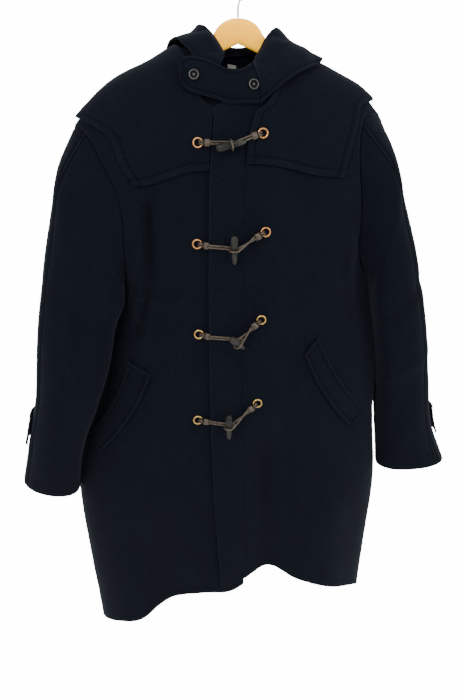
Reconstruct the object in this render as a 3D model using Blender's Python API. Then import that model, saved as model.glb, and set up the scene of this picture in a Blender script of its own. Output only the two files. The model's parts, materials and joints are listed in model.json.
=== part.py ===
"""Duffle coat on a wooden hanger.

Metres, +Z up. +X is the wearer's left, the front faces -Y, and the origin is where the
hanger's hook rests on what holds it. The coat has slid a little to the wearer's right.
"""
import math
from collections import namedtuple

import bmesh
import bpy
from mathutils import Matrix, Vector

# ---------------------------------------------------------------- driving sizes
CLOTH = 0.003            # thickness of the wool cloth
LAY = 0.0004             # gap under a piece that lies on another
LOOSE = 0.0012           # gap under a larger piece of cloth that lies on another
NECK_HALF = 0.084        # half the width of the neck opening along the shoulders
ARMPIT_Z = -0.500
ROUND_BODY = 2.6         # squareness of the body's rings
ROUND_SHOULDER = 2.3     # squareness of the shoulder's cross-section
OVERLAP_LIFT = CLOTH + 0.0010

Ring = namedtuple("Ring", "z right left front back")
BODY_RINGS = (
    Ring(z=-1.195, right=-0.280, left=0.251, front=0.108, back=0.088),
    Ring(z=-1.060, right=-0.294, left=0.260, front=0.116, back=0.096),
    Ring(z=-0.900, right=-0.306, left=0.271, front=0.121, back=0.100),
    Ring(z=-0.790, right=-0.291, left=0.263, front=0.122, back=0.101),
    Ring(z=-0.700, right=-0.2600, left=0.2545, front=0.122, back=0.100),
    Ring(z=-0.600, right=-0.2300, left=0.2425, front=0.121, back=0.098),
    Ring(z=-0.500, right=-0.213, left=0.2260, front=0.118, back=0.095),
    Ring(z=-0.380, right=-0.246, left=0.2330, front=0.116, back=0.093),
    Ring(z=-0.230, right=-0.276, left=0.248, front=0.114, back=0.092),
)

# the shoulder line: share of the way from the centre to the tip, and its height on each side
Shoulder = namedtuple("Shoulder", "share right left")
SHOULDER_LINE = (
    Shoulder(share=0.00, right=-0.088, left=-0.088),
    Shoulder(share=0.30, right=-0.1035, left=-0.1065),
    Shoulder(share=0.50, right=-0.1320, left=-0.1290),
    Shoulder(share=0.70, right=-0.1570, left=-0.1545),
    Shoulder(share=0.85, right=-0.1880, left=-0.1775),
    Shoulder(share=0.95, right=-0.2180, left=-0.2080),
    Shoulder(share=1.00, right=-0.2370, left=-0.2250),
)

# the hem's height all round: angle from the front's middle, positive to the wearer's left
Hem = namedtuple("Hem", "angle z")
HEM = (
    Hem(angle=-180, z=-1.150),
    Hem(angle=-120, z=-1.178),
    Hem(angle=-90, z=-1.203),
    Hem(angle=-68, z=-1.196),
    Hem(angle=-51, z=-1.182),
    Hem(angle=-40, z=-1.170),
    Hem(angle=-31, z=-1.130),
    Hem(angle=-24, z=-1.103),
    Hem(angle=-12, z=-1.094),
    Hem(angle=0, z=-1.088),
    Hem(angle=14, z=-1.060),
    Hem(angle=25, z=-1.095),
    Hem(angle=42, z=-1.128),
    Hem(angle=58, z=-1.143),
    Hem(angle=80, z=-1.162),
    Hem(angle=100, z=-1.158),
    Hem(angle=180, z=-1.150),
)
HEM_RAISE = 0.026        # how much higher the wearer's left front ends near its edge, in rings

# soft folds of the body: angles at the top and bottom, heights, half width and depth
Fold = namedtuple("Fold", "top_angle low_angle top_z low_z width depth")
FOLDS = (
    Fold(top_angle=-38, low_angle=-36, top_z=-0.26, low_z=-0.66, width=6, depth=-0.007),
    Fold(top_angle=-48, low_angle=-48, top_z=-0.28, low_z=-0.66, width=6, depth=0.007),
    Fold(top_angle=58, low_angle=60, top_z=-0.34, low_z=-0.62, width=7, depth=-0.006),
    Fold(top_angle=67, low_angle=67, top_z=-0.46, low_z=-0.76, width=9, depth=0.009),
    Fold(top_angle=12, low_angle=15, top_z=-0.72, low_z=-1.30, width=9, depth=-0.012),
    Fold(top_angle=-4, low_angle=-3, top_z=-0.78, low_z=-1.30, width=6, depth=0.006),
    Fold(top_angle=-33, low_angle=-36, top_z=-0.90, low_z=-1.30, width=8, depth=-0.010),
    Fold(top_angle=34, low_angle=38, top_z=-0.85, low_z=-1.30, width=10, depth=0.008),
    Fold(top_angle=160, low_angle=156, top_z=-0.55, low_z=-1.30, width=10, depth=-0.012),
    Fold(top_angle=-150, low_angle=-154, top_z=-0.60, low_z=-1.30, width=11, depth=-0.013),
    Fold(top_angle=178, low_angle=178, top_z=-0.75, low_z=-1.30, width=9, depth=0.009),
)

# the free edge of the wearer's left front, which lies on top
Edge = namedtuple("Edge", "z x")
FRONT_EDGE = (
    Edge(z=-1.090, x=-0.041),
    Edge(z=-0.930, x=-0.051),
    Edge(z=-0.770, x=-0.059),
    Edge(z=-0.674, x=-0.061),
    Edge(z=-0.424, x=-0.060),
    Edge(z=-0.285, x=-0.056),
    Edge(z=-0.180, x=-0.045),
)
UNDERLAP_X = 0.002       # where the wearer's right front ends, under the left
LIFT_FADE = (0.042, 0.077)           # where the left front comes back onto the body's surface

# colours, as linear values
NAVY = (0.0075, 0.0095, 0.017)
LEATHER = (0.020, 0.012, 0.009)
HORN = (0.030, 0.026, 0.021)
BRASS = (0.42, 0.24, 0.10)
STEEL = (0.60, 0.60, 0.60)
WOOD = (0.70, 0.42, 0.15)
BLACK_PLASTIC = (0.012, 0.012, 0.014)
LABEL_WHITE = (0.55, 0.54, 0.50)

# columns and rows of faces of the smaller pieces of cloth
YOKE_GRID = (8, 10)
YOKE_BACK_GRID = (18, 9)
TAB_GRID = (11, 4)
HOOD_GRID = (16, 11)
WELT_GRID = (7, 2)
STRAP_GRID = (9, 2)
LABEL_GRID = (2, 1)


# ---------------------------------------------------------------- curves
def spline(knots, values):
    """A smooth curve through values at rising knots; beyond its ends it keeps its end values."""
    last = len(knots) - 1
    slopes = []
    for i in range(last + 1):
        low, high = max(i - 1, 0), min(i + 1, last)
        slopes.append((values[high] - values[low]) / (knots[high] - knots[low]))

    def at(x):
        x = min(max(x, knots[0]), knots[-1])
        i = 0
        while i < last - 1 and x > knots[i + 1]:
            i += 1
        span = knots[i + 1] - knots[i]
        t = (x - knots[i]) / span
        rise = t * t * (3 - 2 * t)
        start = (t - 1) * (t - 1) * t * span
        end = (t - 1) * t * t * span
        return values[i] * (1 - rise) + values[i + 1] * rise + slopes[i] * start + slopes[i + 1] * end

    return at


def column(rows, key, value):
    """The spline of one named column of a table against another."""
    return spline([getattr(row, key) for row in rows], [getattr(row, value) for row in rows])


def smooth(low, high, x):
    """0 below low, 1 above high, with a soft step between."""
    t = min(max((x - low) / (high - low), 0.0), 1.0)
    return t * t * (3 - 2 * t)


def mix(a, b, t):
    return a * (1 - t) + b * t


def squared(angle, power):
    """Sine and cosine on a squarish circle."""
    s, c = math.sin(angle), math.cos(angle)
    size = (abs(s) ** power + abs(c) ** power) ** (-1 / power)
    return s * size, c * size


def squared_angle(share, power):
    """The angle whose sine on the squarish circle is the given share."""
    share = min(max(share, -1.0), 1.0)
    return math.atan2(share, max(1 - abs(share) ** power, 0.0) ** (1 / power))


# ---------------------------------------------------------------- the body's surface
ring_right = column(BODY_RINGS, "z", "right")
ring_left = column(BODY_RINGS, "z", "left")
ring_front = column(BODY_RINGS, "z", "front")
ring_back = column(BODY_RINGS, "z", "back")
shoulder_right = column(SHOULDER_LINE, "share", "right")
shoulder_left = column(SHOULDER_LINE, "share", "left")
hem_height = column(HEM, "angle", "z")
front_edge = column(FRONT_EDGE, "z", "x")
RIDGE = 2.0              # the surface runs from the hem (0) over the armpit (1) to the shoulders (2)
RIDGE_RING_Z = BODY_RINGS[-1].z


def ring_at(z):
    """Middle and half width of the body's ring at a height."""
    right, left = ring_right(z), ring_left(z)
    return (left + right) / 2, (left - right) / 2


def ridge_z(share):
    """Height of the shoulder line, for a share of the way to its tip."""
    return shoulder_left(share) if share > 0 else shoulder_right(-share)


def body(angle, v):
    """A point of the coat's outer face: angle round it from the front, v from the hem up."""
    if v > RIDGE:
        angle, v = 180 - angle, 2 * RIDGE - v
    turn = (angle + 180) % 360 - 180
    across, along = squared(math.radians(turn), ROUND_BODY)
    if v <= 1:
        z = mix(hem_height(turn), ARMPIT_Z, v)
        level, depth = z, 1.0
    else:
        up, depth = squared(math.radians(90 * (v - 1)), ROUND_SHOULDER)
        z = mix(ARMPIT_Z, ridge_z(across), up)
        level = mix(ARMPIT_Z, RIDGE_RING_Z, up)
    centre, half = ring_at(level)
    deep = ring_front(level) if along > 0 else ring_back(level)
    swell = 0.0
    for fold in FOLDS:
        run = smooth(fold.top_z, fold.low_z, z)
        off = (turn - mix(fold.top_angle, fold.low_angle, run) + 180) % 360 - 180
        fade = smooth(fold.low_z, fold.low_z + 0.10, z) * smooth(fold.top_z + 0.02, fold.top_z - 0.10, z)
        swell += fold.depth * fade * math.exp(-(off / fold.width) ** 2)
    return Vector((centre + (half + swell) * across, -(deep * depth + swell) * along, z))


def body_frame(angle, v):
    """The body's point and its outward normal."""
    step = 0.002
    round_way = body(angle + 90 * step, v) - body(angle - 90 * step, v)
    up_way = body(angle, v + step) - body(angle, v - step)
    return body(angle, v), round_way.cross(up_way).normalized()


def height_share(v):
    """How far ring v has risen from the armpit to the shoulder line."""
    return squared(math.radians(90 * (v - 1)), ROUND_SHOULDER)[0]


def angle_at(x, v, front=True):
    """The angle at which the body's ring v reaches x."""
    angle = 0.0
    for _ in range(3):
        if v <= 1:
            level = mix(hem_height(angle), ARMPIT_Z, v)
        else:
            level = mix(ARMPIT_Z, RIDGE_RING_Z, height_share(v))
        centre, half = ring_at(level)
        angle = math.degrees(squared_angle((x - centre) / half, ROUND_BODY))
    return angle if front else 180 - angle


def v_at(x, z):
    """The ring that passes the height z at x on the front."""
    if z <= ARMPIT_Z:
        centre, half = ring_at(z)
        hem = hem_height(math.degrees(squared_angle((x - centre) / half, ROUND_BODY)))
        return (z - hem) / (ARMPIT_Z - hem)
    share = 0.5
    for _ in range(4):
        centre, half = ring_at(mix(ARMPIT_Z, RIDGE_RING_Z, share))
        share = (z - ARMPIT_Z) / (ridge_z((x - centre) / half) - ARMPIT_Z)
    return 1 + math.degrees(squared_angle(share, ROUND_SHOULDER)) / 90


def on_front(x, z, lift):
    """A point over the front, and the normal there."""
    v = v_at(x, z)
    point, normal = body_frame(angle_at(x, v), v)
    return point + normal * lift, normal


def lift_at(x):
    """How far the wearer's left front stands off where it covers the right one."""
    return OVERLAP_LIFT * (1 - smooth(*LIFT_FADE, x))


# ---------------------------------------------------------------- making objects
def fresh(name):
    """A new collection in the scene."""
    group = bpy.data.collections.new(name)
    bpy.context.scene.collection.children.link(group)
    return group


def finish(name, colour, roughness, metallic=0.0):
    """A plain material."""
    material = bpy.data.materials.new(name)
    material.use_nodes = True
    shader = material.node_tree.nodes["Principled BSDF"]
    shader.inputs["Base Color"].default_value = (*colour, 1)
    shader.inputs["Roughness"].default_value = roughness
    shader.inputs["Metallic"].default_value = metallic
    material.diffuse_color = (*colour, 1)
    return material


def add(name, bm, look, group):
    """A named object from a mesh being built, with outward faces."""
    bmesh.ops.triangulate(bm, faces=bm.faces[:])
    bm.normal_update()
    bmesh.ops.recalc_face_normals(bm, faces=bm.faces[:])
    mesh = bpy.data.meshes.new(name)
    bm.to_mesh(mesh)
    bm.free()
    mesh.materials.append(finish(name, *look))
    mesh.shade_smooth()
    mesh.set_sharp_from_angle(angle=math.radians(40))
    thing = bpy.data.objects.new(name, mesh)
    group.objects.link(thing)
    return thing


def cloth(name, place, columns, rows, group, thickness=CLOTH, look=(NAVY, 0.95)):
    """A wall of cloth over place(s, t), which gives an outer point and its outward normal."""
    bm = bmesh.new()
    bmesh.ops.create_grid(bm, x_segments=columns, y_segments=rows, size=0.5)
    copy = bmesh.ops.extrude_face_region(bm, geom=bm.faces[:], use_keep_orig=True)["geom"]
    inside = {item for item in copy if isinstance(item, bmesh.types.BMVert)}
    for vert in bm.verts:
        point, normal = place(vert.co.x + 0.5, vert.co.y + 0.5)
        vert.co = point - normal * (thickness if vert in inside else 0.0)
    return add(name, bm, look, group)


# ---------------------------------------------------------------- body panels
# the armhole's edge: height from the armpit (0) to the shoulder line (1), and its place on each side
Armhole = namedtuple("Armhole", "height right left")
ARMHOLE = (
    Armhole(height=0.00, right=1.000, left=1.000),
    Armhole(height=0.05, right=0.935, left=0.965),
    Armhole(height=0.12, right=0.860, left=0.930),
    Armhole(height=0.24, right=0.790, left=0.895),
    Armhole(height=0.34, right=0.795, left=0.860),
    Armhole(height=0.48, right=0.860, left=0.822),
    Armhole(height=0.62, right=0.905, left=0.840),
    Armhole(height=0.80, right=0.955, left=0.920),
    Armhole(height=1.00, right=0.985, left=0.985),
)
HALF_SEAM_ANGLE = 0.09   # half a seam at the side, as an angle
HALF_SEAM_RIDGE = 0.0009 # half a seam at the shoulder line, in rings
HALF_SLEEVE_SEAM = 0.40  # half a seam of a sleeve, in degrees round it
FRONT_COLUMNS = 12
OVERLAP_SHARE = 3 / FRONT_COLUMNS    # the columns of each front that share the overlap
FRONT_ROWS = 19
ROWS_TO_ARMPIT = 9 / FRONT_ROWS
ROWS_TO_NECK = 14 / FRONT_ROWS
BACK_COLUMNS = 18
BACK_ROWS = 19
BACK_ROWS_TO_ARMPIT = 9 / BACK_ROWS
BACK_NECK_SHARE = 6 / BACK_COLUMNS   # the columns under the back neck
NECK_V = 1.519           # ring of the front neck
NECK_SINK = 0.0016       # how far the under front gives way where the neckline starts
NECK_BEND = 0.38         # how soon the front neckline turns up
BACK_NECK_DEPTH = 0.305  # the back neck's depth at the middle, in rings
SHOULDER_TOP = RIDGE - HALF_SEAM_RIDGE


armhole_right = column(ARMHOLE, "height", "right")
armhole_left = column(ARMHOLE, "height", "left")


def armhole_share(side, v):
    """The armhole's place on the front or back, as a share of the half width."""
    if v <= 1:
        return 1.0
    return armhole_left(v - 1) if side > 0 else armhole_right(v - 1)


def outer_angle(side, v):
    """Where the front meets the side seam or the armhole."""
    angle = math.degrees(squared_angle(armhole_share(side, v), ROUND_BODY))
    return min(angle, 90 - HALF_SEAM_ANGLE)


def front_rows(t):
    """Rings of a front, with one at the armpit and one where the neckline starts."""
    if t < ROWS_TO_ARMPIT:
        return t / ROWS_TO_ARMPIT
    if t < ROWS_TO_NECK:
        return mix(1.0, NECK_V, (t - ROWS_TO_ARMPIT) / (ROWS_TO_NECK - ROWS_TO_ARMPIT))
    return mix(NECK_V, SHOULDER_TOP, (t - ROWS_TO_NECK) / (1 - ROWS_TO_NECK))


def body_centre(v):
    return ring_at(mix(ARMPIT_Z, RIDGE_RING_Z, height_share(v)))[0]


def neck_rise(v):
    """How far the front neckline has opened towards the shoulder at ring v, from 0 to 1."""
    return max((v - NECK_V) / (RIDGE - NECK_V), 0.0) ** NECK_BEND


def front_left_place(s, t):
    v = front_rows(t)
    if v < 1:
        v += HEM_RAISE * (1 - v) ** 3 * (1 - smooth(0.45, 0.85, s))
    opened = neck_rise(v)
    shoulder = body_centre(v) + NECK_HALF
    edge = mix(front_edge(body(0, v).z), shoulder, opened)
    overlap_end = mix(UNDERLAP_X, shoulder + 0.01, opened)
    if s <= OVERLAP_SHARE:
        angle = mix(angle_at(edge, v), angle_at(overlap_end, v), s / OVERLAP_SHARE)
    else:
        angle = mix(angle_at(overlap_end, v), outer_angle(1, v), (s - OVERLAP_SHARE) / (1 - OVERLAP_SHARE))
    point, normal = body_frame(angle, v)
    return point + normal * lift_at(point.x), normal


def front_right_place(s, t):
    v = front_rows(t)
    opened = neck_rise(v)
    shoulder = body_centre(v) - NECK_HALF
    overlap_start = mix(front_edge(body(0, v).z), shoulder - 0.01, opened)
    edge = mix(UNDERLAP_X, shoulder, opened)
    if s >= 1 - OVERLAP_SHARE:
        angle = mix(angle_at(overlap_start, v), angle_at(edge, v), (s - 1 + OVERLAP_SHARE) / OVERLAP_SHARE)
    else:
        angle = mix(-outer_angle(-1, v), angle_at(overlap_start, v), s / (1 - OVERLAP_SHARE))
    point, normal = body_frame(angle, v)
    start = smooth(NECK_V - 0.08, NECK_V, v) * (1 - smooth(NECK_V + 0.12, NECK_V + 0.24, v))
    return point - normal * NECK_SINK * start * smooth(0.5, 0.7, s), normal


def back_neck_top(share):
    """The ring of the back's top edge, for a share of the neck's half width."""
    return SHOULDER_TOP - BACK_NECK_DEPTH * max(1 - share * share, 0.0) ** 0.6


def back_spot(s, left, right, neck, top_neck):
    """Angle across the back: outside the neck's columns, then evenly over them."""
    flank = (1 - BACK_NECK_SHARE) / 2
    if s < flank:
        return mix(180 - left, 180 - neck, s / flank), top_neck
    if s > 1 - flank:
        return mix(180 + neck, 180 + right, (s - 1 + flank) / flank), top_neck
    share = 2 * (s - flank) / BACK_NECK_SHARE - 1
    return 180 + neck * share, back_neck_top(share)


def back_rows(t, top):
    if t < BACK_ROWS_TO_ARMPIT:
        return t / BACK_ROWS_TO_ARMPIT
    return mix(1.0, top, (t - BACK_ROWS_TO_ARMPIT) / (1 - BACK_ROWS_TO_ARMPIT))


NECK_ANGLE = math.degrees(squared_angle(NECK_HALF / ring_at(RIDGE_RING_Z)[1], ROUND_BODY))


def back_place(s, t):
    top = back_spot(s, 70, 70, NECK_ANGLE, SHOULDER_TOP)[1]
    v = back_rows(t, top)
    angle = back_spot(s, outer_angle(1, v), outer_angle(-1, v), NECK_ANGLE, SHOULDER_TOP)[0]
    return body_frame(angle, v)


# ---------------------------------------------------------------- sleeves
# a row for each ring: its place along the sleeve, its outer and inner points, and its depth
SleeveRing = namedtuple("SleeveRing", "along outer_x outer_z inner_x inner_z middle_y deep")
SLEEVE_RIGHT = (
    SleeveRing(along=0.10, outer_x=-0.3020, outer_z=-0.292, inner_x=-0.2195, inner_z=-0.506,
               middle_y=-0.006, deep=0.078),
    SleeveRing(along=0.24, outer_x=-0.3190, outer_z=-0.372, inner_x=-0.2185, inner_z=-0.530,
               middle_y=-0.020, deep=0.076),
    SleeveRing(along=0.40, outer_x=-0.3395, outer_z=-0.472, inner_x=-0.2225, inner_z=-0.570,
               middle_y=-0.036, deep=0.072),
    SleeveRing(along=0.56, outer_x=-0.3545, outer_z=-0.580, inner_x=-0.2375, inner_z=-0.633,
               middle_y=-0.058, deep=0.067),
    SleeveRing(along=0.71, outer_x=-0.3655, outer_z=-0.681, inner_x=-0.2640, inner_z=-0.709,
               middle_y=-0.064, deep=0.062),
    SleeveRing(along=0.86, outer_x=-0.3850, outer_z=-0.769, inner_x=-0.2920, inner_z=-0.794,
               middle_y=-0.056, deep=0.058),
    SleeveRing(along=1.00, outer_x=-0.4050, outer_z=-0.858, inner_x=-0.3020, inner_z=-0.883,
               middle_y=-0.040, deep=0.055),
)
SLEEVE_LEFT = (
    SleeveRing(along=0.10, outer_x=0.2620, outer_z=-0.262, inner_x=0.2315, inner_z=-0.506,
               middle_y=-0.006, deep=0.080),
    SleeveRing(along=0.24, outer_x=0.2850, outer_z=-0.342, inner_x=0.2340, inner_z=-0.524,
               middle_y=-0.012, deep=0.078),
    SleeveRing(along=0.40, outer_x=0.3155, outer_z=-0.450, inner_x=0.2380, inner_z=-0.560,
               middle_y=-0.021, deep=0.073),
    SleeveRing(along=0.56, outer_x=0.3390, outer_z=-0.560, inner_x=0.2470, inner_z=-0.620,
               middle_y=-0.030, deep=0.066),
    SleeveRing(along=0.71, outer_x=0.3545, outer_z=-0.670, inner_x=0.2570, inner_z=-0.705,
               middle_y=-0.031, deep=0.059),
    SleeveRing(along=0.86, outer_x=0.3710, outer_z=-0.778, inner_x=0.2645, inner_z=-0.795,
               middle_y=-0.029, deep=0.052),
    SleeveRing(along=1.00, outer_x=0.4050, outer_z=-0.866, inner_x=0.2720, inner_z=-0.873,
               middle_y=-0.027, deep=0.045),
)
# cloth that hangs forward over the body's side under each arm: its place round and along the
# sleeve, its spread, and how far it comes inward and forward
Drape = namedtuple("Drape", "side turn width along length inward forward")
DRAPES = (
    Drape(side=1, turn=128, width=26, along=0.42, length=0.30, inward=0.010, forward=0.008),
    Drape(side=-1, turn=126, width=27, along=0.22, length=0.18, inward=0.034, forward=0.018),
    Drape(side=-1, turn=150, width=24, along=0.11, length=0.09, inward=0.014, forward=0.017),
    Drape(side=-1, turn=145, width=32, along=0.64, length=0.22, inward=0.007, forward=0.004),
)
ROUND_SLEEVE = 2.25
ARMHOLE_GAP = 0.0007
# rows of the front between the shoulder line and the outer seam of the left and the right sleeve
SEAM_ROWS = (4, 3)
SLEEVE_ROWS = 11
HEAD_SHARE = 0.085       # the part of a sleeve where its wall turns from the body's way to its own


def armhole(side, turn):
    """A point of the armhole's edge and the body's normal there; turn 0 is the shoulder, 90 the front."""
    ahead = turn % 360 < 180
    height = (1 + math.cos(math.radians(turn))) / 2
    v = 1 + math.degrees(squared_angle(height, ROUND_SHOULDER)) / 90
    v = min(v, RIDGE - 0.0001)
    reach = outer_angle(side, v)
    angle = reach if ahead else 180 - reach
    step = 0.5 if ahead else -0.5
    point, normal = body_frame(side * angle, v)
    outward = (body(side * (angle + step), v) - body(side * (angle - step), v)).normalized()
    under = smooth(-0.2, -1.0, math.cos(math.radians(turn)))
    normal = (normal * (1 - under) + Vector((0, 0, -1)) * under).normalized()
    return point + outward * ARMHOLE_GAP + Vector((0, 0, ARMHOLE_GAP * under)), normal


def turn_at(v):
    """The turn round the armhole at a ring of the body."""
    return math.degrees(math.acos(2 * height_share(v) - 1))


def sleeve_turns(seam_row):
    """Turns of the two sleeve pieces' columns, which meet the rows of the body panels."""
    front_low, back_low = round(ROWS_TO_ARMPIT * FRONT_ROWS), round(BACK_ROWS_TO_ARMPIT * BACK_ROWS)
    front = [turn_at(front_rows(row / FRONT_ROWS)) for row in range(FRONT_ROWS, front_low - 1, -1)]
    back = [360 - turn_at(back_rows(row / BACK_ROWS, RIDGE)) for row in range(back_low, BACK_ROWS)]
    seam = front[seam_row]
    first = [seam + HALF_SLEEVE_SEAM] + front[seam_row + 1:-1] + [180 - HALF_SLEEVE_SEAM]
    over = [360 + turn for turn in [0.0] + front[1:seam_row] + [seam - HALF_SLEEVE_SEAM]]
    second = [180 + HALF_SLEEVE_SEAM] + back[1:] + over
    return first, second


def sleeve_point(side, rows, turn):
    """The spline along the sleeve at one turn round it."""
    drapes = [drape for drape in DRAPES if drape.side == side]
    across, along = squared(math.radians(turn), ROUND_SLEEVE)
    knots, points = [0.0], [armhole(side, turn)[0]]
    for row in rows:
        outer = Vector((row.outer_x, row.middle_y, row.outer_z))
        inner = Vector((row.inner_x, row.middle_y, row.inner_z))
        middle = (outer + inner) / 2
        point = middle + (outer - middle) * along - Vector((0, row.deep * across, 0))
        for drape in drapes:
            off = ((turn + 360) % 360 - drape.turn) / drape.width
            hang = math.exp(-off * off - ((row.along - drape.along) / drape.length) ** 2)
            point -= Vector((side * drape.inward, drape.forward, 0)) * hang
        points.append(point)
        knots.append(row.along)
    return spline(knots, points)


def sleeve_place(side, rows, turns):
    """A sleeve piece over the given turns round the tube."""
    tracks = {}

    def track(turn):
        if turn not in tracks:
            tracks[turn] = sleeve_point(side, rows, turn)
        return tracks[turn]

    def place(s, t):
        spot = s * (len(turns) - 1)
        index = min(int(spot + 0.0001), len(turns) - 2)
        turn = mix(turns[index], turns[index + 1], spot - index)
        here = track(turn)(t)
        round_way = track(turn + 2)(t) - track(turn - 2)(t)
        down_way = track(turn)(min(t + 0.01, 1.0)) - track(turn)(max(t - 0.01, 0.0))
        normal = round_way.cross(down_way).normalized() * side
        keep = 1 - smooth(0.0, HEAD_SHARE, t)
        return here, (armhole(side, turn)[1] * keep + normal * (1 - keep)).normalized()

    return place


# ---------------------------------------------------------------- the yoke over the shoulders
YOKE_LIFT = CLOTH + LOOSE
Corner = namedtuple("Corner", "z inner outer")
YOKE_LEFT = (            # where the wearer's left flap's front edge and outer edge are, by height
    Corner(z=-0.303, inner=0.001, outer=0.163),
    Corner(z=-0.275, inner=0.002, outer=0.172),
    Corner(z=-0.233, inner=0.006, outer=0.190),
    Corner(z=-0.187, inner=0.021, outer=0.224),
)
OuterCorner = namedtuple("OuterCorner", "z outer")
YOKE_RIGHT = (
    OuterCorner(z=-0.310, outer=-0.177),
    OuterCorner(z=-0.285, outer=-0.198),
    OuterCorner(z=-0.233, outer=-0.244),
    OuterCorner(z=-0.187, outer=-0.256),
)
YOKE_LEFT_LOW = (-0.276, -0.303)     # heights of the lower edge at the front edge and at the corner
YOKE_RIGHT_LOW = (-0.286, -0.311)
YOKE_WAVE = 0.003
YOKE_TIP_LEFT = 0.2225
YOKE_TIP_RIGHT = -0.262
YOKE_BACK_LOW = (-0.300, -0.310)     # at the middle and at the corners
YOKE_BACK_CORNER = 0.172
YOKE_NECK_GAP = 0.003
YOKE_RIDGE = 0.0022      # how much more the yoke stands off along the shoulders
YOKE_RIDGE_RINGS = (1.55, 1.85)      # the rings over which it does so
YOKE_EDGE_GAP = 0.0012
YOKE_NECK_RINGS = 0.03   # how far the yoke stays below the back neck, in rings


YOKE_HALF_SHARE = 0.5    # how far up its outer edge starts to turn towards the tip
yoke_left_inner = column(YOKE_LEFT, "z", "inner")
yoke_left_outer = column(YOKE_LEFT, "z", "outer")
yoke_right_outer = column(YOKE_RIGHT, "z", "outer")


def yoke_right_inner(z):
    """The right flap ends just before the overlap's edge."""
    return front_edge(z) - YOKE_EDGE_GAP


def yoke_flap(side, inner, outer, low, tip):
    """Half of the yoke's front: from its lower edge up to the shoulder line."""
    def place(s, t):
        low_z = mix(low[0], low[1], s) + YOKE_WAVE * math.sin(2 * math.pi * s)
        low_x = mix(inner(low_z), outer(low_z), s)
        v = mix(v_at(low_x, low_z), SHOULDER_TOP, t)
        z = body(0, v).z
        opened = neck_rise(v)
        start = mix(inner(z), body_centre(v) + side * (NECK_HALF + YOKE_NECK_GAP), opened)
        reach = outer(low_z)
        for _ in range(2):
            reach = outer(body(angle_at(reach, v), v).z)
        stop = mix(reach, tip, smooth(YOKE_HALF_SHARE, 1.0, t))
        angle = angle_at(mix(start, stop, s), v)
        point, normal = body_frame(angle, v)
        lift = YOKE_LIFT + YOKE_RIDGE * smooth(*YOKE_RIDGE_RINGS, v) + lift_at(point.x) * (side > 0)
        return point + normal * lift, normal

    return place


def yoke_back_place(s, t):
    """The yoke's back, from its lower edge up to the shoulder line and the back neck."""
    share = 2 * s - 1
    low_z = mix(YOKE_BACK_LOW[0], YOKE_BACK_LOW[1], abs(share))
    centre = body_centre(RIDGE)
    low_x = centre - share * YOKE_BACK_CORNER
    tip = YOKE_TIP_RIGHT if share > 0 else YOKE_TIP_LEFT
    half = abs(tip - centre)
    neck_share = (NECK_HALF + YOKE_NECK_GAP) / half
    top = SHOULDER_TOP
    if abs(share) < neck_share:
        top = back_neck_top(share / neck_share) - YOKE_NECK_RINGS
    v = mix(v_at(low_x, low_z), top, t)
    x = mix(low_x, centre - share * half, t ** 1.6)
    point, normal = body_frame(angle_at(x, v, front=False), v)
    return point + normal * (YOKE_LIFT + YOKE_RIDGE * smooth(*YOKE_RIDGE_RINGS, v)), normal


# ---------------------------------------------------------------- throat tab and hood
# a row for each place along the throat tab, from its free round end to the hood
Band = namedtuple("Band", "low_x low_y low_z high_x high_y high_z")
THROAT_TAB = (
    Band(low_x=-0.0990, low_y=-0.0735, low_z=-0.1480, high_x=-0.0990, high_y=-0.0660, high_z=-0.1280),
    Band(low_x=-0.0940, low_y=-0.0785, low_z=-0.1600, high_x=-0.0935, high_y=-0.0640, high_z=-0.1190),
    Band(low_x=-0.0840, low_y=-0.0820, low_z=-0.1670, high_x=-0.0830, high_y=-0.0640, high_z=-0.1160),
    Band(low_x=-0.0700, low_y=-0.0840, low_z=-0.1720, high_x=-0.0700, high_y=-0.0660, high_z=-0.1172),
    Band(low_x=-0.0540, low_y=-0.0860, low_z=-0.1760, high_x=-0.0540, high_y=-0.0715, high_z=-0.1215),
    Band(low_x=-0.0400, low_y=-0.0880, low_z=-0.1800, high_x=-0.0400, high_y=-0.0765, high_z=-0.1275),
    Band(low_x=-0.0260, low_y=-0.0895, low_z=-0.1852, high_x=-0.0260, high_y=-0.0805, high_z=-0.1333),
    Band(low_x=-0.0030, low_y=-0.0895, low_z=-0.1855, high_x=-0.0030, high_y=-0.0810, high_z=-0.1334),
    Band(low_x=0.0246, low_y=-0.0888, low_z=-0.1855, high_x=0.0127, high_y=-0.0760, high_z=-0.1260),
)
TAB_BULGE = 0.004
TAB_END = 0.004          # how far its sewn end curves out

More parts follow.
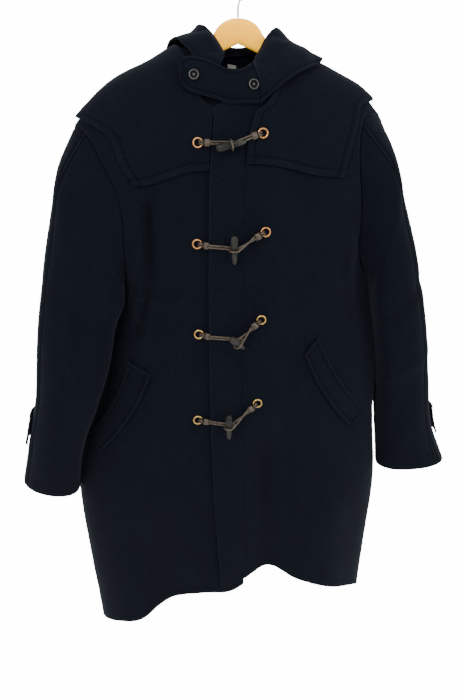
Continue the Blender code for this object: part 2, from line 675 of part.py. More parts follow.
# a row for each place round the neck, from the front to the middle of the back: where the hood
# is sewn on, where it rolls over, how it falls, its fold at the bottom, and the hood's open edge
Roll = namedtuple("Roll", "along seam roll fall fold lip")
HOOD_LEFT = (
    Roll(along=0.00, seam=(0.0180, -0.0630, -0.1550), roll=(0.0150, -0.0760, -0.1250),
         fall=(0.0228, -0.0840, -0.1450), fold=(0.0262, -0.0885, -0.1650), lip=(0.0264, -0.0895, -0.1855)),
    Roll(along=0.12, seam=(0.0330, -0.0500, -0.1330), roll=(0.0195, -0.0560, -0.1190),
         fall=(0.0290, -0.0720, -0.1330), fold=(0.0370, -0.0820, -0.1510), lip=(0.0440, -0.0885, -0.1700)),
    Roll(along=0.24, seam=(0.0440, -0.0370, -0.1170), roll=(0.0295, -0.0320, -0.1100),
         fall=(0.0420, -0.0540, -0.1200), fold=(0.0540, -0.0705, -0.1370), lip=(0.0650, -0.0815, -0.1545)),
    Roll(along=0.35, seam=(0.0530, -0.0240, -0.1090), roll=(0.0450, -0.0130, -0.0880),
         fall=(0.0600, -0.0350, -0.1030), fold=(0.0750, -0.0550, -0.1210), lip=(0.0880, -0.0700, -0.1415)),
    Roll(along=0.46, seam=(0.0610, 0.0000, -0.1030), roll=(0.0595, 0.0020, -0.0768),
         fall=(0.0800, -0.0120, -0.0945), fold=(0.1010, -0.0340, -0.1100), lip=(0.1140, -0.0500, -0.1330)),
    Roll(along=0.58, seam=(0.0560, 0.0120, -0.1060), roll=(0.0670, 0.0240, -0.0805),
         fall=(0.0930, 0.0200, -0.1040), fold=(0.1190, 0.0060, -0.1190), lip=(0.1320, -0.0180, -0.1320)),
    Roll(along=0.70, seam=(0.0400, 0.0230, -0.1120), roll=(0.0490, 0.0410, -0.1005),
         fall=(0.0900, 0.0640, -0.1400), fold=(0.1200, 0.0800, -0.1950), lip=(0.1290, 0.0800, -0.1500)),
    Roll(along=0.85, seam=(0.0160, 0.0310, -0.1180), roll=(0.0205, 0.0480, -0.1130),
         fall=(0.0480, 0.0930, -0.2050), fold=(0.0800, 0.1250, -0.3250), lip=(0.0900, 0.1380, -0.1800)),
    Roll(along=1.00, seam=(-0.0135, 0.0330, -0.1200), roll=(-0.0135, 0.0500, -0.1145),
         fall=(-0.0135, 0.1030, -0.2300), fold=(-0.0135, 0.1420, -0.3900), lip=(-0.0135, 0.1640, -0.1950)),
)
HOOD_RIGHT = (
    Roll(along=0.00, seam=(-0.0470, -0.0630, -0.1550), roll=(-0.0310, -0.0650, -0.1175),
         fall=(-0.0320, -0.0695, -0.1205), fold=(-0.0350, -0.0725, -0.1275), lip=(-0.0370, -0.0740, -0.1400)),
    Roll(along=0.12, seam=(-0.0620, -0.0500, -0.1330), roll=(-0.0275, -0.0500, -0.1125),
         fall=(-0.0370, -0.0580, -0.1130), fold=(-0.0470, -0.0630, -0.1165), lip=(-0.0560, -0.0660, -0.1310)),
    Roll(along=0.24, seam=(-0.0720, -0.0370, -0.1170), roll=(-0.0300, -0.0300, -0.1070),
         fall=(-0.0440, -0.0400, -0.1060), fold=(-0.0580, -0.0480, -0.1100), lip=(-0.0710, -0.0560, -0.1260)),
    Roll(along=0.35, seam=(-0.0800, -0.0240, -0.1090), roll=(-0.0440, -0.0120, -0.0850),
         fall=(-0.0550, -0.0240, -0.0880), fold=(-0.0670, -0.0330, -0.0980), lip=(-0.0790, -0.0420, -0.1160)),
    Roll(along=0.46, seam=(-0.0885, 0.0000, -0.1010), roll=(-0.0570, 0.0000, -0.0730),
         fall=(-0.0680, -0.0080, -0.0800), fold=(-0.0800, -0.0170, -0.0940), lip=(-0.0880, -0.0250, -0.1140)),
    Roll(along=0.58, seam=(-0.0830, 0.0120, -0.1040), roll=(-0.0660, 0.0240, -0.0780),
         fall=(-0.0810, 0.0220, -0.0900), fold=(-0.0900, 0.0140, -0.1030), lip=(-0.0950, 0.0000, -0.1160)),
    Roll(along=0.70, seam=(-0.0670, 0.0230, -0.1110), roll=(-0.0630, 0.0410, -0.0985),
         fall=(-0.0950, 0.0640, -0.1300), fold=(-0.1300, 0.0800, -0.1850), lip=(-0.1340, 0.0800, -0.1400)),
    Roll(along=0.85, seam=(-0.0430, 0.0310, -0.1180), roll=(-0.0460, 0.0480, -0.1130),
         fall=(-0.0740, 0.0930, -0.2050), fold=(-0.1060, 0.1250, -0.3200), lip=(-0.1160, 0.1380, -0.1750)),
    Roll(along=1.00, seam=(-0.0145, 0.0330, -0.1200), roll=(-0.0145, 0.0500, -0.1145),
         fall=(-0.0145, 0.1030, -0.2300), fold=(-0.0145, 0.1420, -0.3900), lip=(-0.0145, 0.1640, -0.1950)),
)
HOOD_KNOTS = (0.0, 0.22, 0.42, 0.68, 1.0)
HOOD_RIDGE = 0.0055       # how much more it stands off over the shoulder line
HOOD_OUT = 0.0030         # how far the fallen hood stands off the yoke


def surface_place(point, flip=1.0):
    """Turns point(s, t) into a place with its normal."""
    step = 0.004

    def place(s, t):
        wide = point(min(s + step, 1.0), t) - point(max(s - step, 0.0), t)
        tall = point(s, min(t + step, 1.0)) - point(s, max(t - step, 0.0))
        return point(s, t), wide.cross(tall).normalized() * flip

    return place


def even(rows, *keys):
    """Splines of a table's columns at even steps from 0 to 1."""
    knots = [i / (len(rows) - 1) for i in range(len(rows))]
    return [spline(knots, [getattr(row, key) for row in rows]) for key in keys]


def throat_tab_point():
    names = ("low_x", "low_y", "low_z", "high_x", "high_y", "high_z")
    low_x, low_y, low_z, high_x, high_y, high_z = even(THROAT_TAB, *names)

    def point(s, t):
        low = Vector((low_x(s), low_y(s), low_z(s)))
        high = Vector((high_x(s), high_y(s), high_z(s)))
        belly = math.sin(math.pi * t)
        spot = mix(low, high, t) + Vector((TAB_END * smooth(0.8, 1.0, s) * belly, -TAB_BULGE * belly, 0))
        over_yoke = 1 - smooth(-0.055, -0.035, spot.x)
        return mix(spot, stand_off(spot, YOKE_LIFT + CLOTH + LOOSE), over_yoke)

    return point


def guide(rows, key):
    return spline([row.along for row in rows], [Vector(getattr(row, key)) for row in rows])


def body_gap(point):
    """About how far a point above the armpits is outside the body's surface; negative inside it."""
    centre, half = ring_at(mix(ARMPIT_Z, RIDGE_RING_Z, 0.9))
    share = min(max((point.x - centre) / half, -1.0), 1.0)
    up = max((point.z - ARMPIT_Z) / (ridge_z(share) - ARMPIT_Z), 0.0)
    level = mix(ARMPIT_Z, RIDGE_RING_Z, min(up, 1.0))
    deep = ring_front(level) if point.y < 0 else ring_back(level)
    deep *= max(1 - abs(share) ** ROUND_BODY, 0.02) ** (1 / ROUND_BODY)
    size = (up ** ROUND_SHOULDER + abs(point.y / deep) ** ROUND_SHOULDER) ** (1 / ROUND_SHOULDER)
    return size - 1


def stand_off(point, need):
    """Moves a point so that it is at least need outside the body's surface."""
    for _ in range(4):
        step = 0.001
        here = body_gap(point)
        rise = Vector([body_gap(point + axis * step) - here for axis in Matrix.Identity(3)]) / step
        gap = here / rise.length
        point = point + rise.normalized() * max(need - gap, 0.0)
    return point


def hood_point(rows):
    """Half of the hood: up from the neck seam, over the roll, down, and up again to its open edge."""
    guides = [guide(rows, key) for key in ("seam", "roll", "fall", "fold", "lip")]

    def point(s, t):
        spot = spline(HOOD_KNOTS, [track(s) for track in guides])(t)
        lies = smooth(HOOD_KNOTS[1], HOOD_KNOTS[2], t)
        need = YOKE_LIFT + CLOTH + HOOD_OUT + HOOD_RIDGE * (1 - smooth(0.02, 0.05, abs(spot.y)))
        return mix(spot, stand_off(spot, need), lies)

    return point


# ---------------------------------------------------------------- pockets and cuff straps
# a row for each place down a pocket's welt: its stitched edge and its open edge
Welt = namedtuple("Welt", "sewn_x sewn_z open_x open_z")
WELT_LEFT = (
    Welt(sewn_x=0.103, sewn_z=-0.600, open_x=0.126, open_z=-0.572),
    Welt(sewn_x=0.128, sewn_z=-0.657, open_x=0.162, open_z=-0.643),
    Welt(sewn_x=0.172, sewn_z=-0.725, open_x=0.199, open_z=-0.699),
    Welt(sewn_x=0.199, sewn_z=-0.756, open_x=0.222, open_z=-0.731),
)
WELT_RIGHT = (
    Welt(sewn_x=-0.160, sewn_z=-0.634, open_x=-0.194, open_z=-0.613),
    Welt(sewn_x=-0.187, sewn_z=-0.695, open_x=-0.216, open_z=-0.670),
    Welt(sewn_x=-0.222, sewn_z=-0.750, open_x=-0.246, open_z=-0.726),
    Welt(sewn_x=-0.255, sewn_z=-0.790, open_x=-0.279, open_z=-0.776),
)
WELT_THICK = 0.0025
WELT_LOOSE = 0.0026      # over the folds behind it
STRAP_TOP = (0.816, 0.768)           # along the left and the right sleeve
STRAP_LOW = (0.904, 0.866)
STRAP_START = 20                     # turns round the sleeve, from the outer seam to behind
STRAP_END = -105
STRAP_THICK = 0.003
STRAP_LOOSE = 0.0027
STRAP_ROUND = 0.25
STRAP_BUTTON = 0.14


def welt_place(rows):
    sewn_x, sewn_z, open_x, open_z = even(rows, "sewn_x", "sewn_z", "open_x", "open_z")

    def place(s, t):
        x, z = mix(sewn_x(s), open_x(s), t), mix(sewn_z(s), open_z(s), t)
        return on_front(x, z, WELT_THICK + WELT_LOOSE)

    return place


def strap_place(around, index):
    """A strap round the back of a cuff, with its end rounded off."""
    def place(s, t):
        round_off = STRAP_ROUND * (1 - smooth(0.0, 0.15, s))
        share = mix(round_off, 1 - round_off, t)
        point, normal = around(s, mix(STRAP_LOW[index], STRAP_TOP[index], share))
        return point + normal * (STRAP_THICK + STRAP_LOOSE), normal

    return place


# ---------------------------------------------------------------- buttons, eyelets and toggles
BUTTON_PROFILE = (       # distance from the axis and height
    (0.0000, 0.0028), (0.0052, 0.0028), (0.0064, 0.0040), (0.0076, 0.0036), (0.0081, 0.0018), (0.0068, 0.0),
    (0.0000, 0.0),
)
BUTTON_SIDES = 12
BUTTON_LAY = 0.0010
EYELET_RADIUS = 0.0071
EYELET_WIRE = 0.0016
EYELET_SIDES = (12, 5)
TOGGLE_PROFILE = (       # share of the length and radius
    (0.00, 0.0), (0.02, 0.0038), (0.12, 0.0060), (0.32, 0.0062), (0.48, 0.0048), (0.56, 0.0046),
    (0.70, 0.0047), (0.88, 0.0036), (0.98, 0.0019), (1.00, 0.0),
)
TOGGLE_SIDES = 10
THONG = 0.0016           # radius of one leather strand
STRANDS_APART = 0.0038   # between the middles of a pair
WRAP_LENGTH = 0.009
WRAP_PROFILE = ((0.0022, 0.0), (0.0029, 0.0), (0.0029, WRAP_LENGTH), (0.0022, WRAP_LENGTH))
WRAP_WIDE = 2.0
WRAP_SIDES = 10
STRAND_STEPS = 18
STRAND_SIDES = 5
WAIST_TURNS = (-90, -125, 180, 125, 90, 45)      # round the waist, from an eyelet beside it
WAIST_TURNS_ALONG = (-115, -145, 180, 135, 90, 45, 0, -35, -65)      # from an eyelet in line with it
YOKE_LEFT_CLEAR = 0.004  # where the left yoke flap starts, for what lies over the overlap
TOGGLE_OUT = 0.0154      # the toggle's axis over the cloth

# a row for each closing, from the top: the eyelets of the loop and of the toggle, the toggle's
# thick and thin ends with their heights over the cloth, and whether the eyelets lie on the yoke
Closing = namedtuple("Closing", "loop_x loop_z eyelet_x eyelet_z thick_x thick_z thin_x thin_z rise on_yoke")
CLOSINGS = (
    Closing(loop_x=-0.0735, loop_z=-0.2440, eyelet_x=0.0280, eyelet_z=-0.2315,
            thick_x=-0.0462, thick_z=-0.2540, thin_x=0.0005, thin_z=-0.2440, rise=0.0, on_yoke=1),
    Closing(loop_x=-0.0782, loop_z=-0.4017, eyelet_x=0.0325, eyelet_z=-0.3837,
            thick_x=-0.0193, thick_z=-0.3860, thin_x=-0.0195, thin_z=-0.4330, rise=0.0, on_yoke=0),
    Closing(loop_x=-0.0780, loop_z=-0.5567, eyelet_x=0.0267, eyelet_z=-0.5325,
            thick_x=-0.0270, thick_z=-0.5530, thin_x=-0.0030, thin_z=-0.5790, rise=0.018, on_yoke=0),
    Closing(loop_x=-0.0825, loop_z=-0.7157, eyelet_x=0.0216, eyelet_z=-0.6857,
            thick_x=-0.0297, thick_z=-0.6990, thin_x=-0.0298, thin_z=-0.7470, rise=0.0, on_yoke=0),
)
TOGGLE_WAIST = 0.52      # the waist's place along the toggle
# a strand's way out of its eyelet: distance from the eyelet's middle and height over the cloth
HOLE_WAY = ((0.0022, 0.0008), (0.0024, 0.0040), (0.0052, 0.0064), (0.0086, 0.0062))
WRAP_START = 0.0100
WRAP_HEIGHT = 0.0058
LOOP_LOW = 0.0028        # height of the loop's strands behind the toggle
LOOP_PAST = 0.0115       # how far the loop reaches past the toggle
LOOP_STRAIGHT = 0.016    # how far before the toggle the loop's strands lie side by side
WAIST_REACH = 0.0080     # from the toggle's axis to the strand round its waist
THIN_DROP = 0.15         # how far the thin end sinks for each metre that the thick end rises
WRAP_LEAD = 0.2          # how far past a wrap its strands run straight, as a share of its length


def turned(name, profile, sides, frame, group, look, closed=False):
    """A piece turned round its own Z axis from a profile of radius and height."""
    bm = bmesh.new()
    ring = [bm.verts.new((radius, 0, height)) for radius, height in profile]
    pairs = list(zip(ring, ring[1:])) + [(ring[-1], ring[0])] * closed
    edges = [bm.edges.new(pair) for pair in pairs]
    bmesh.ops.spin(bm, geom=ring + edges, cent=(0, 0, 0), axis=(0, 0, 1), angle=2 * math.pi,
                   steps=sides, use_merge=True)
    bmesh.ops.remove_doubles(bm, verts=bm.verts[:], dist=0.00005)
    bm.transform(frame)
    return add(name, bm, look, group)


def frame_at(point, up, along):
    """A matrix that stands on point with its Z along up and its X near along."""
    up = up.normalized()
    across = up.cross(along).normalized()
    matrix = Matrix((across.cross(up), across, up)).transposed().to_4x4()
    matrix.translation = point
    return matrix


def circle_profile(reach, radius, corners):
    steps = [2 * math.pi * i / corners for i in range(corners)]
    return [(reach + radius * math.cos(step), radius * math.sin(step)) for step in steps]


def rod(name, points, radius, group, look, sides):
    """A round bar or strand along points."""
    bm = bmesh.new()
    last = len(points) - 1
    side = None
    rings = []
    for i, point in enumerate(points):
        way = (points[min(i + 1, last)] - points[max(i - 1, 0)]).normalized()
        if side is None:
            side = way.orthogonal()
        side = (side - way * side.dot(way)).normalized()
        up = way.cross(side)
        turns = [2 * math.pi * k / sides for k in range(sides)]
        rings.append([bm.verts.new(point + (side * math.cos(a) + up * math.sin(a)) * radius) for a in turns])
    for low, high in zip(rings, rings[1:]):
        for k in range(sides):
            bm.faces.new((low[k], low[(k + 1) % sides], high[(k + 1) % sides], high[k]))
    bm.faces.new(rings[0])
    bm.faces.new(rings[-1])
    return add(name, bm, look, group)


def strand_curve(points, steps):
    """A smooth way through points, in steps."""
    knots = [0.0]
    for before, after in zip(points, points[1:]):
        knots.append(knots[-1] + (after - before).length)
    way = spline(knots, points)
    return [way(knots[-1] * i / steps) for i in range(steps + 1)]


def closing(index, row, group):
    """One fastening: two eyelets, a loop, and a toggle on its own thong."""
    name = str(index)
    base = YOKE_LIFT * row.on_yoke
    leather = (LEATHER, 0.6)

    def over(x, z, height):
        ground = OVERLAP_LIFT
        if x < front_edge(z) or x > YOKE_LEFT_CLEAR:
            ground = base + lift_at(x) * (x > 0)
        return on_front(x, z, ground + height)[0]

    thick = over(row.thick_x, row.thick_z, TOGGLE_OUT + row.rise)
    thin = over(row.thin_x, row.thin_z, TOGGLE_OUT - row.rise * THIN_DROP)
    axis = (thin - thick).normalized()
    middle = mix(thick, thin, TOGGLE_WAIST)
    length = (thin - thick).length
    up = on_front(row.thick_x, row.thick_z, 0.0)[1]
    profile = [(radius, share * length) for share, radius in TOGGLE_PROFILE]
    turned("toggle_" + name, profile, TOGGLE_SIDES, frame_at(thick, axis, up.cross(axis)), group, (HORN, 0.4))

    ends = (("right", "thong_loop_", row.loop_x, row.loop_z),
            ("left", "thong_toggle_", row.eyelet_x, row.eyelet_z))
    for side, kind, hole_x, hole_z in ends:
        flat = Vector((middle.x - hole_x, 0, middle.z - hole_z))
        far = flat.length
        flat.normalize()
        aside = Vector((-flat.z, 0, flat.x))

        def spot(distance, height, offset):
            x = hole_x + flat.x * distance + aside.x * offset
            z = hole_z + flat.z * distance + aside.z * offset
            return over(x, z, height)

        centre, normal = over(hole_x, hole_z, LAY), on_front(hole_x, hole_z, 0.0)[1]
        ring = circle_profile(EYELET_RADIUS, EYELET_WIRE, EYELET_SIDES[1])
        turned("eyelet_" + side + "_" + name, ring, EYELET_SIDES[0],
               frame_at(centre + normal * EYELET_WIRE, normal, flat), group, (BRASS, 0.35, 1.0), closed=True)
        half = STRANDS_APART / 2
        start, end = spot(WRAP_START, WRAP_HEIGHT, 0), spot(WRAP_START + WRAP_LENGTH, WRAP_HEIGHT, 0)
        wrap_frame = frame_at(start, end - start, normal) @ Matrix.Diagonal((1, WRAP_WIDE, 1, 1))
        turned("thong_wrap_" + side + "_" + name, WRAP_PROFILE, WRAP_SIDES, wrap_frame, group, leather,
               closed=True)
        lead = (end - start) * WRAP_LEAD
        across = (end - start).cross(normal).normalized() * half
        if across.dot(spot(WRAP_START, WRAP_HEIGHT, half) - start) < 0:
            across = -across
        ways = []
        for offset, shift in ((half, across), (-half, -across)):
            hole = [spot(distance, height, offset) for distance, height in HOLE_WAY]
            ways.append(strand_curve(hole + [start + shift - lead], 4) + [end + shift + lead])
        first, second = ways
        if side == "right":
            reach = far + LOOP_PAST
            way = ((far - LOOP_STRAIGHT, half), (far, half), (reach - half, half), (reach, 0),
                   (reach - half, -half), (far, -half), (far - LOOP_STRAIGHT, -half))
            bend = [spot(distance, LOOP_LOW, offset) for distance, offset in way]
        else:
            out = axis.cross(up).normalized()
            in_line = abs(axis.dot(end - middle)) > abs(out.dot(end - middle))
            towards = -across if in_line else end - middle
            out = out if out.dot(towards) > 0 else -out
            front = out.cross(axis).normalized()
            front = front if front.dot(up) > 0 else -front
            bend = []
            for turn in WAIST_TURNS_ALONG if in_line else WAIST_TURNS:
                angle = math.radians(turn)
                bend.append(middle + (out * math.cos(angle) + front * math.sin(angle)) * WAIST_REACH)
        round_toggle = strand_curve([first[-1]] + bend + [second[-1]], STRAND_STEPS)
        points = first[:-1] + round_toggle + second[-2::-1]
        rod(kind + name, points, THONG, group, leather, STRAND_SIDES)


# ---------------------------------------------------------------- buttons, label and hanger
TAB_BUTTONS = (("left", 0.955, 0.50), ("right", 0.312, 0.49))
LABEL_WIDTH = 0.0145
LABEL_THICK = 0.0008
LABEL_X = -0.0050
LABEL_V = 1.640          # ring of its lower edge on the back
LABEL_RINGS = 0.021      # its height, in rings
# a row for each section of the hanger's arm from its middle: top, underside and half its thickness
Arm = namedtuple("Arm", "x top under half")
HANGER_ARM = (
    Arm(x=0.000, top=-0.0620, under=-0.1010, half=0.0068),
    Arm(x=0.012, top=-0.0635, under=-0.1063, half=0.0068),
    Arm(x=0.024, top=-0.0685, under=-0.1117, half=0.0068),
    Arm(x=0.034, top=-0.0770, under=-0.1165, half=0.0068),
    Arm(x=0.041, top=-0.0885, under=-0.1210, half=0.0068),
    Arm(x=0.052, top=-0.1005, under=-0.1290, half=0.0068),
    Arm(x=0.068, top=-0.1150, under=-0.1390, half=0.0068),
    Arm(x=0.100, top=-0.1305, under=-0.1520, half=0.0070),
    Arm(x=0.140, top=-0.1505, under=-0.1730, half=0.0075),
    Arm(x=0.180, top=-0.1720, under=-0.1920, half=0.0080),
    Arm(x=0.196, top=-0.1830, under=-0.1950, half=0.0060),
)
HANGER_ROUND = (         # corners of the arm's section: share of half the thickness and of the height
    (0.45, 1.0), (1.0, 0.86), (1.0, 0.14), (0.45, 0.0),
    (-0.45, 0.0), (-1.0, 0.14), (-1.0, 0.86), (-0.45, 1.0),
)
HOOK_WIRE = 0.00175
HOOK_INSIDE = 0.017
HOOK_STEM = 0.6          # how far up its straight part the hook starts to bend
HOOK_START = -82         # degrees from the level right side, over the top
HOOK_END = 205
HOOK_SIDES = 8
HOOK_STEPS = 14


def hanger(group):
    """The wooden arms in one piece, and the wire hook that stands in them."""
    bm = bmesh.new()
    arms = [Arm(-arm.x, arm.top, arm.under, arm.half) for arm in HANGER_ARM[:0:-1]] + list(HANGER_ARM)
    rings = []
    for arm in arms:
        corners = [(arm.half * y, mix(arm.under, arm.top, z)) for y, z in HANGER_ROUND]
        rings.append([bm.verts.new((arm.x, y, z)) for y, z in corners])
    for low, high in zip(rings, rings[1:]):
        for k in range(len(low)):
            after = (k + 1) % len(low)
            bm.faces.new((low[k], low[after], high[after], high[k]))
    bm.faces.new(rings[0])
    bm.faces.new(rings[-1])
    add("hanger_wood", bm, (WOOD, 0.35), group)
    reach = HOOK_INSIDE + HOOK_WIRE
    centre_z = -HOOK_INSIDE
    top = HANGER_ARM[0].top + LAY
    points = [Vector((0, 0, top)), Vector((0, 0, mix(top, centre_z - reach, HOOK_STEM)))]
    for i in range(HOOK_STEPS + 1):
        turn = math.radians(mix(HOOK_START, HOOK_END, i / HOOK_STEPS))
        points.append(Vector((reach * math.cos(turn), 0, centre_z + reach * math.sin(turn))))
    rod("hanger_hook", points, HOOK_WIRE, group, (STEEL, 0.25, 1.0), HOOK_SIDES)


def label_place(s, t):
    """The blank label on the inside of the back, under the neck."""
    x = LABEL_X + LABEL_WIDTH * (0.5 - s)
    v = mix(LABEL_V, LABEL_V + LABEL_RINGS, t)
    point, normal = body_frame(angle_at(x, v, front=False), v)
    return point - normal * (CLOTH + LOOSE), normal


def button_on(name, point, normal, group):
    """A button that lies on cloth."""
    frame = frame_at(point + normal * BUTTON_LAY, normal, Vector((1, 0, 0)))
    turned(name, BUTTON_PROFILE, BUTTON_SIDES, frame, group, (BLACK_PLASTIC, 0.3))


def main():
    for thing in list(bpy.data.objects):
        bpy.data.objects.remove(thing, do_unlink=True)
    coat = fresh("duffle_coat")
    cloth("front_left", front_left_place, FRONT_COLUMNS, FRONT_ROWS, coat)
    cloth("front_right", front_right_place, FRONT_COLUMNS, FRONT_ROWS, coat)
    cloth("back", back_place, BACK_COLUMNS, BACK_ROWS, coat)
    for index, name, side, rows in ((0, "left", 1, SLEEVE_LEFT), (1, "right", -1, SLEEVE_RIGHT)):
        front_turns, back_turns = sleeve_turns(SEAM_ROWS[index])
        front = sleeve_place(side, rows, front_turns)
        back = sleeve_place(side, rows, back_turns)
        cloth("sleeve_" + name + "_front", front, len(front_turns) - 1, SLEEVE_ROWS, coat)
        cloth("sleeve_" + name + "_back", back, len(back_turns) - 1, SLEEVE_ROWS, coat)
        strap = strap_place(sleeve_place(side, rows, (STRAP_END, STRAP_START)), index)
        cloth("cuff_strap_" + name, strap, *STRAP_GRID, coat)
        point, normal = strap(STRAP_BUTTON, 0.5)
        button_on("cuff_button_" + name, point, normal, coat)
    left_flap = yoke_flap(1, yoke_left_inner, yoke_left_outer, YOKE_LEFT_LOW, YOKE_TIP_LEFT)
    right_flap = yoke_flap(-1, yoke_right_inner, yoke_right_outer, YOKE_RIGHT_LOW, YOKE_TIP_RIGHT)
    cloth("yoke_front_left", left_flap, *YOKE_GRID, coat)
    cloth("yoke_front_right", right_flap, *YOKE_GRID, coat)
    cloth("yoke_back", yoke_back_place, *YOKE_BACK_GRID, coat)
    tab = surface_place(throat_tab_point())
    cloth("throat_tab", tab, *TAB_GRID, coat)
    for name, s, t in TAB_BUTTONS:
        point, normal = tab(s, t)
        button_on("tab_button_" + name, point, normal, coat)
    cloth("hood_left", surface_place(hood_point(HOOD_LEFT), -1), *HOOD_GRID, coat)
    cloth("hood_right", surface_place(hood_point(HOOD_RIGHT)), *HOOD_GRID, coat)
    cloth("pocket_welt_left", welt_place(WELT_LEFT), *WELT_GRID, coat, WELT_THICK)
    cloth("pocket_welt_right", welt_place(WELT_RIGHT), *WELT_GRID, coat, WELT_THICK)
    cloth("neck_label", label_place, *LABEL_GRID, coat, LABEL_THICK, (LABEL_WHITE, 0.8))
    for index, row in enumerate(CLOSINGS, 1):
        closing(index, row, coat)
    hanger(coat)


main()
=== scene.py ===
"""The duffle coat's cloth, trims and hanger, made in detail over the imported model."""

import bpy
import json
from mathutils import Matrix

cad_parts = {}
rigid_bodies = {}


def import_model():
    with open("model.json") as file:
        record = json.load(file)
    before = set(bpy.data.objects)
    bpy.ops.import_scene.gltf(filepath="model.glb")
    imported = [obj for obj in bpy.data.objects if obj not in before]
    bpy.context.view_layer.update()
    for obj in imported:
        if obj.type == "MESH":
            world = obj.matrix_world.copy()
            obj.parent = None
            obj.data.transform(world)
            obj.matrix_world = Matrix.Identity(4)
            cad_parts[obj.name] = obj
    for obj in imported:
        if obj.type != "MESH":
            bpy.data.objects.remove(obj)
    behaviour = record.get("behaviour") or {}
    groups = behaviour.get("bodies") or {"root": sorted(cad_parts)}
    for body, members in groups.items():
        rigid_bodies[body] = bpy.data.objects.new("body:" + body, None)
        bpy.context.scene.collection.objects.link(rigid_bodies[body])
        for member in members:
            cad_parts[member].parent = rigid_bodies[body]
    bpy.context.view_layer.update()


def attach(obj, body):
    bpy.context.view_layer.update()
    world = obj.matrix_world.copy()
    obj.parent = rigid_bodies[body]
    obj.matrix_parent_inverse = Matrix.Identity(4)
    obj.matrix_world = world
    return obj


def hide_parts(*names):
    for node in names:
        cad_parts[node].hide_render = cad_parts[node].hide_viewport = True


bl_info = {
    "name": "Duffle coat on a hanger",
    "version": (1, 0, 0),
    "blender": (4, 5, 0),
    "location": "3D View > Sidebar > Duffle coat",
    "description": "Makes a duffle coat's wool cloth, thongs, toggles, buttons and wooden hanger",
    "category": "Object",
}

import json
import math
from collections import namedtuple

import bmesh
import bpy
import numpy as np
from mathutils import Matrix, Vector, noise

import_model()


def table(columns, *rows):
    """Rows of numbers with named columns."""
    row_of = namedtuple("Row", columns)
    return [row_of(*row) for row in rows]


# ---------------------------------------------------------------- driving sizes
CLOTH = 0.003            # thickness of the wool cloth
LAY = 0.0004             # gap under a piece that lies on another
LOOSE = 0.0012           # gap under a larger piece of cloth that lies on another
NECK_HALF = 0.084        # half the width of the neck opening along the shoulders
ARMPIT_Z = -0.500
ROUND_BODY = 2.6         # squareness of the body's rings
ROUND_SHOULDER = 2.3     # squareness of the shoulder's cross-section
OVERLAP_LIFT = CLOTH + 0.0010        # how far the left front stands off where it lies on the right one

# rings of the body from the hem up: height, reach to each side, and depth ahead and behind
BODY_RINGS = table(
    "z right left front back",
    (-1.195, -0.280, 0.251, 0.108, 0.088),
    (-1.060, -0.294, 0.260, 0.116, 0.096),
    (-0.900, -0.306, 0.271, 0.121, 0.100),
    (-0.790, -0.291, 0.263, 0.122, 0.101),
    (-0.700, -0.2600, 0.2545, 0.122, 0.100),
    (-0.600, -0.2300, 0.2425, 0.121, 0.098),
    (-0.500, -0.213, 0.2260, 0.118, 0.095),
    (-0.380, -0.246, 0.2330, 0.116, 0.093),
    (-0.230, -0.276, 0.248, 0.114, 0.092),
)

# the shoulder line: share of the way from the centre to the tip, and its height on each side
SHOULDER_LINE = table(
    "share right left",
    (0.00, -0.088, -0.088),
    (0.30, -0.1035, -0.1065),
    (0.50, -0.1320, -0.1290),
    (0.70, -0.1570, -0.1545),
    (0.85, -0.1880, -0.1775),
    (0.95, -0.2180, -0.2080),
    (1.00, -0.2370, -0.2250),
)

# the hem's height all round: angle from the front's middle, positive to the wearer's left
HEM = table(
    "angle z",
    (-180, -1.150),
    (-120, -1.178),
    (-90, -1.203),
    (-68, -1.196),
    (-51, -1.182),
    (-40, -1.170),
    (-31, -1.130),
    (-24, -1.103),
    (-12, -1.094),
    (0, -1.088),
    (14, -1.060),
    (25, -1.095),
    (42, -1.128),
    (58, -1.143),
    (80, -1.162),
    (100, -1.158),
    (180, -1.150),
)
HEM_RAISE = 0.026        # how much higher the wearer's left front ends near its edge, in rings
HEM_RAISE_FADE = (0.45, 0.85)        # the share of its width over which this fades

# soft folds of the body: angles at the top and bottom, heights, half width and depth
FOLDS = table(
    "top_angle low_angle top_z low_z width depth",
    (-38, -36, -0.26, -0.66, 6, -0.007),
    (-48, -48, -0.28, -0.66, 6, 0.007),
    (58, 60, -0.34, -0.62, 7, -0.006),
    (67, 67, -0.46, -0.76, 9, 0.009),
    (12, 15, -0.72, -1.30, 9, -0.012),
    (-4, -3, -0.78, -1.30, 6, 0.006),
    (-33, -36, -0.90, -1.30, 8, -0.010),
    (34, 38, -0.85, -1.30, 10, 0.008),
    (160, 156, -0.55, -1.30, 10, -0.012),
    (-150, -154, -0.60, -1.30, 11, -0.013),
    (178, 178, -0.75, -1.30, 9, 0.009),
)
FOLD_FADE = 0.10         # the height over which a fold starts and ends
FOLD_ABOVE = 0.02        # how far over its top it still shows

# the free edge of the wearer's left front, which lies on top
FRONT_EDGE = table(
    "z x",
    (-1.090, -0.041),
    (-0.930, -0.051),
    (-0.770, -0.059),
    (-0.674, -0.061),
    (-0.424, -0.060),
    (-0.285, -0.056),
    (-0.180, -0.045),
)
UNDERLAP_X = 0.002       # where the wearer's right front ends, under the left
LIFT_FADE = (0.042, 0.077)           # where the left front comes back onto the body's surface


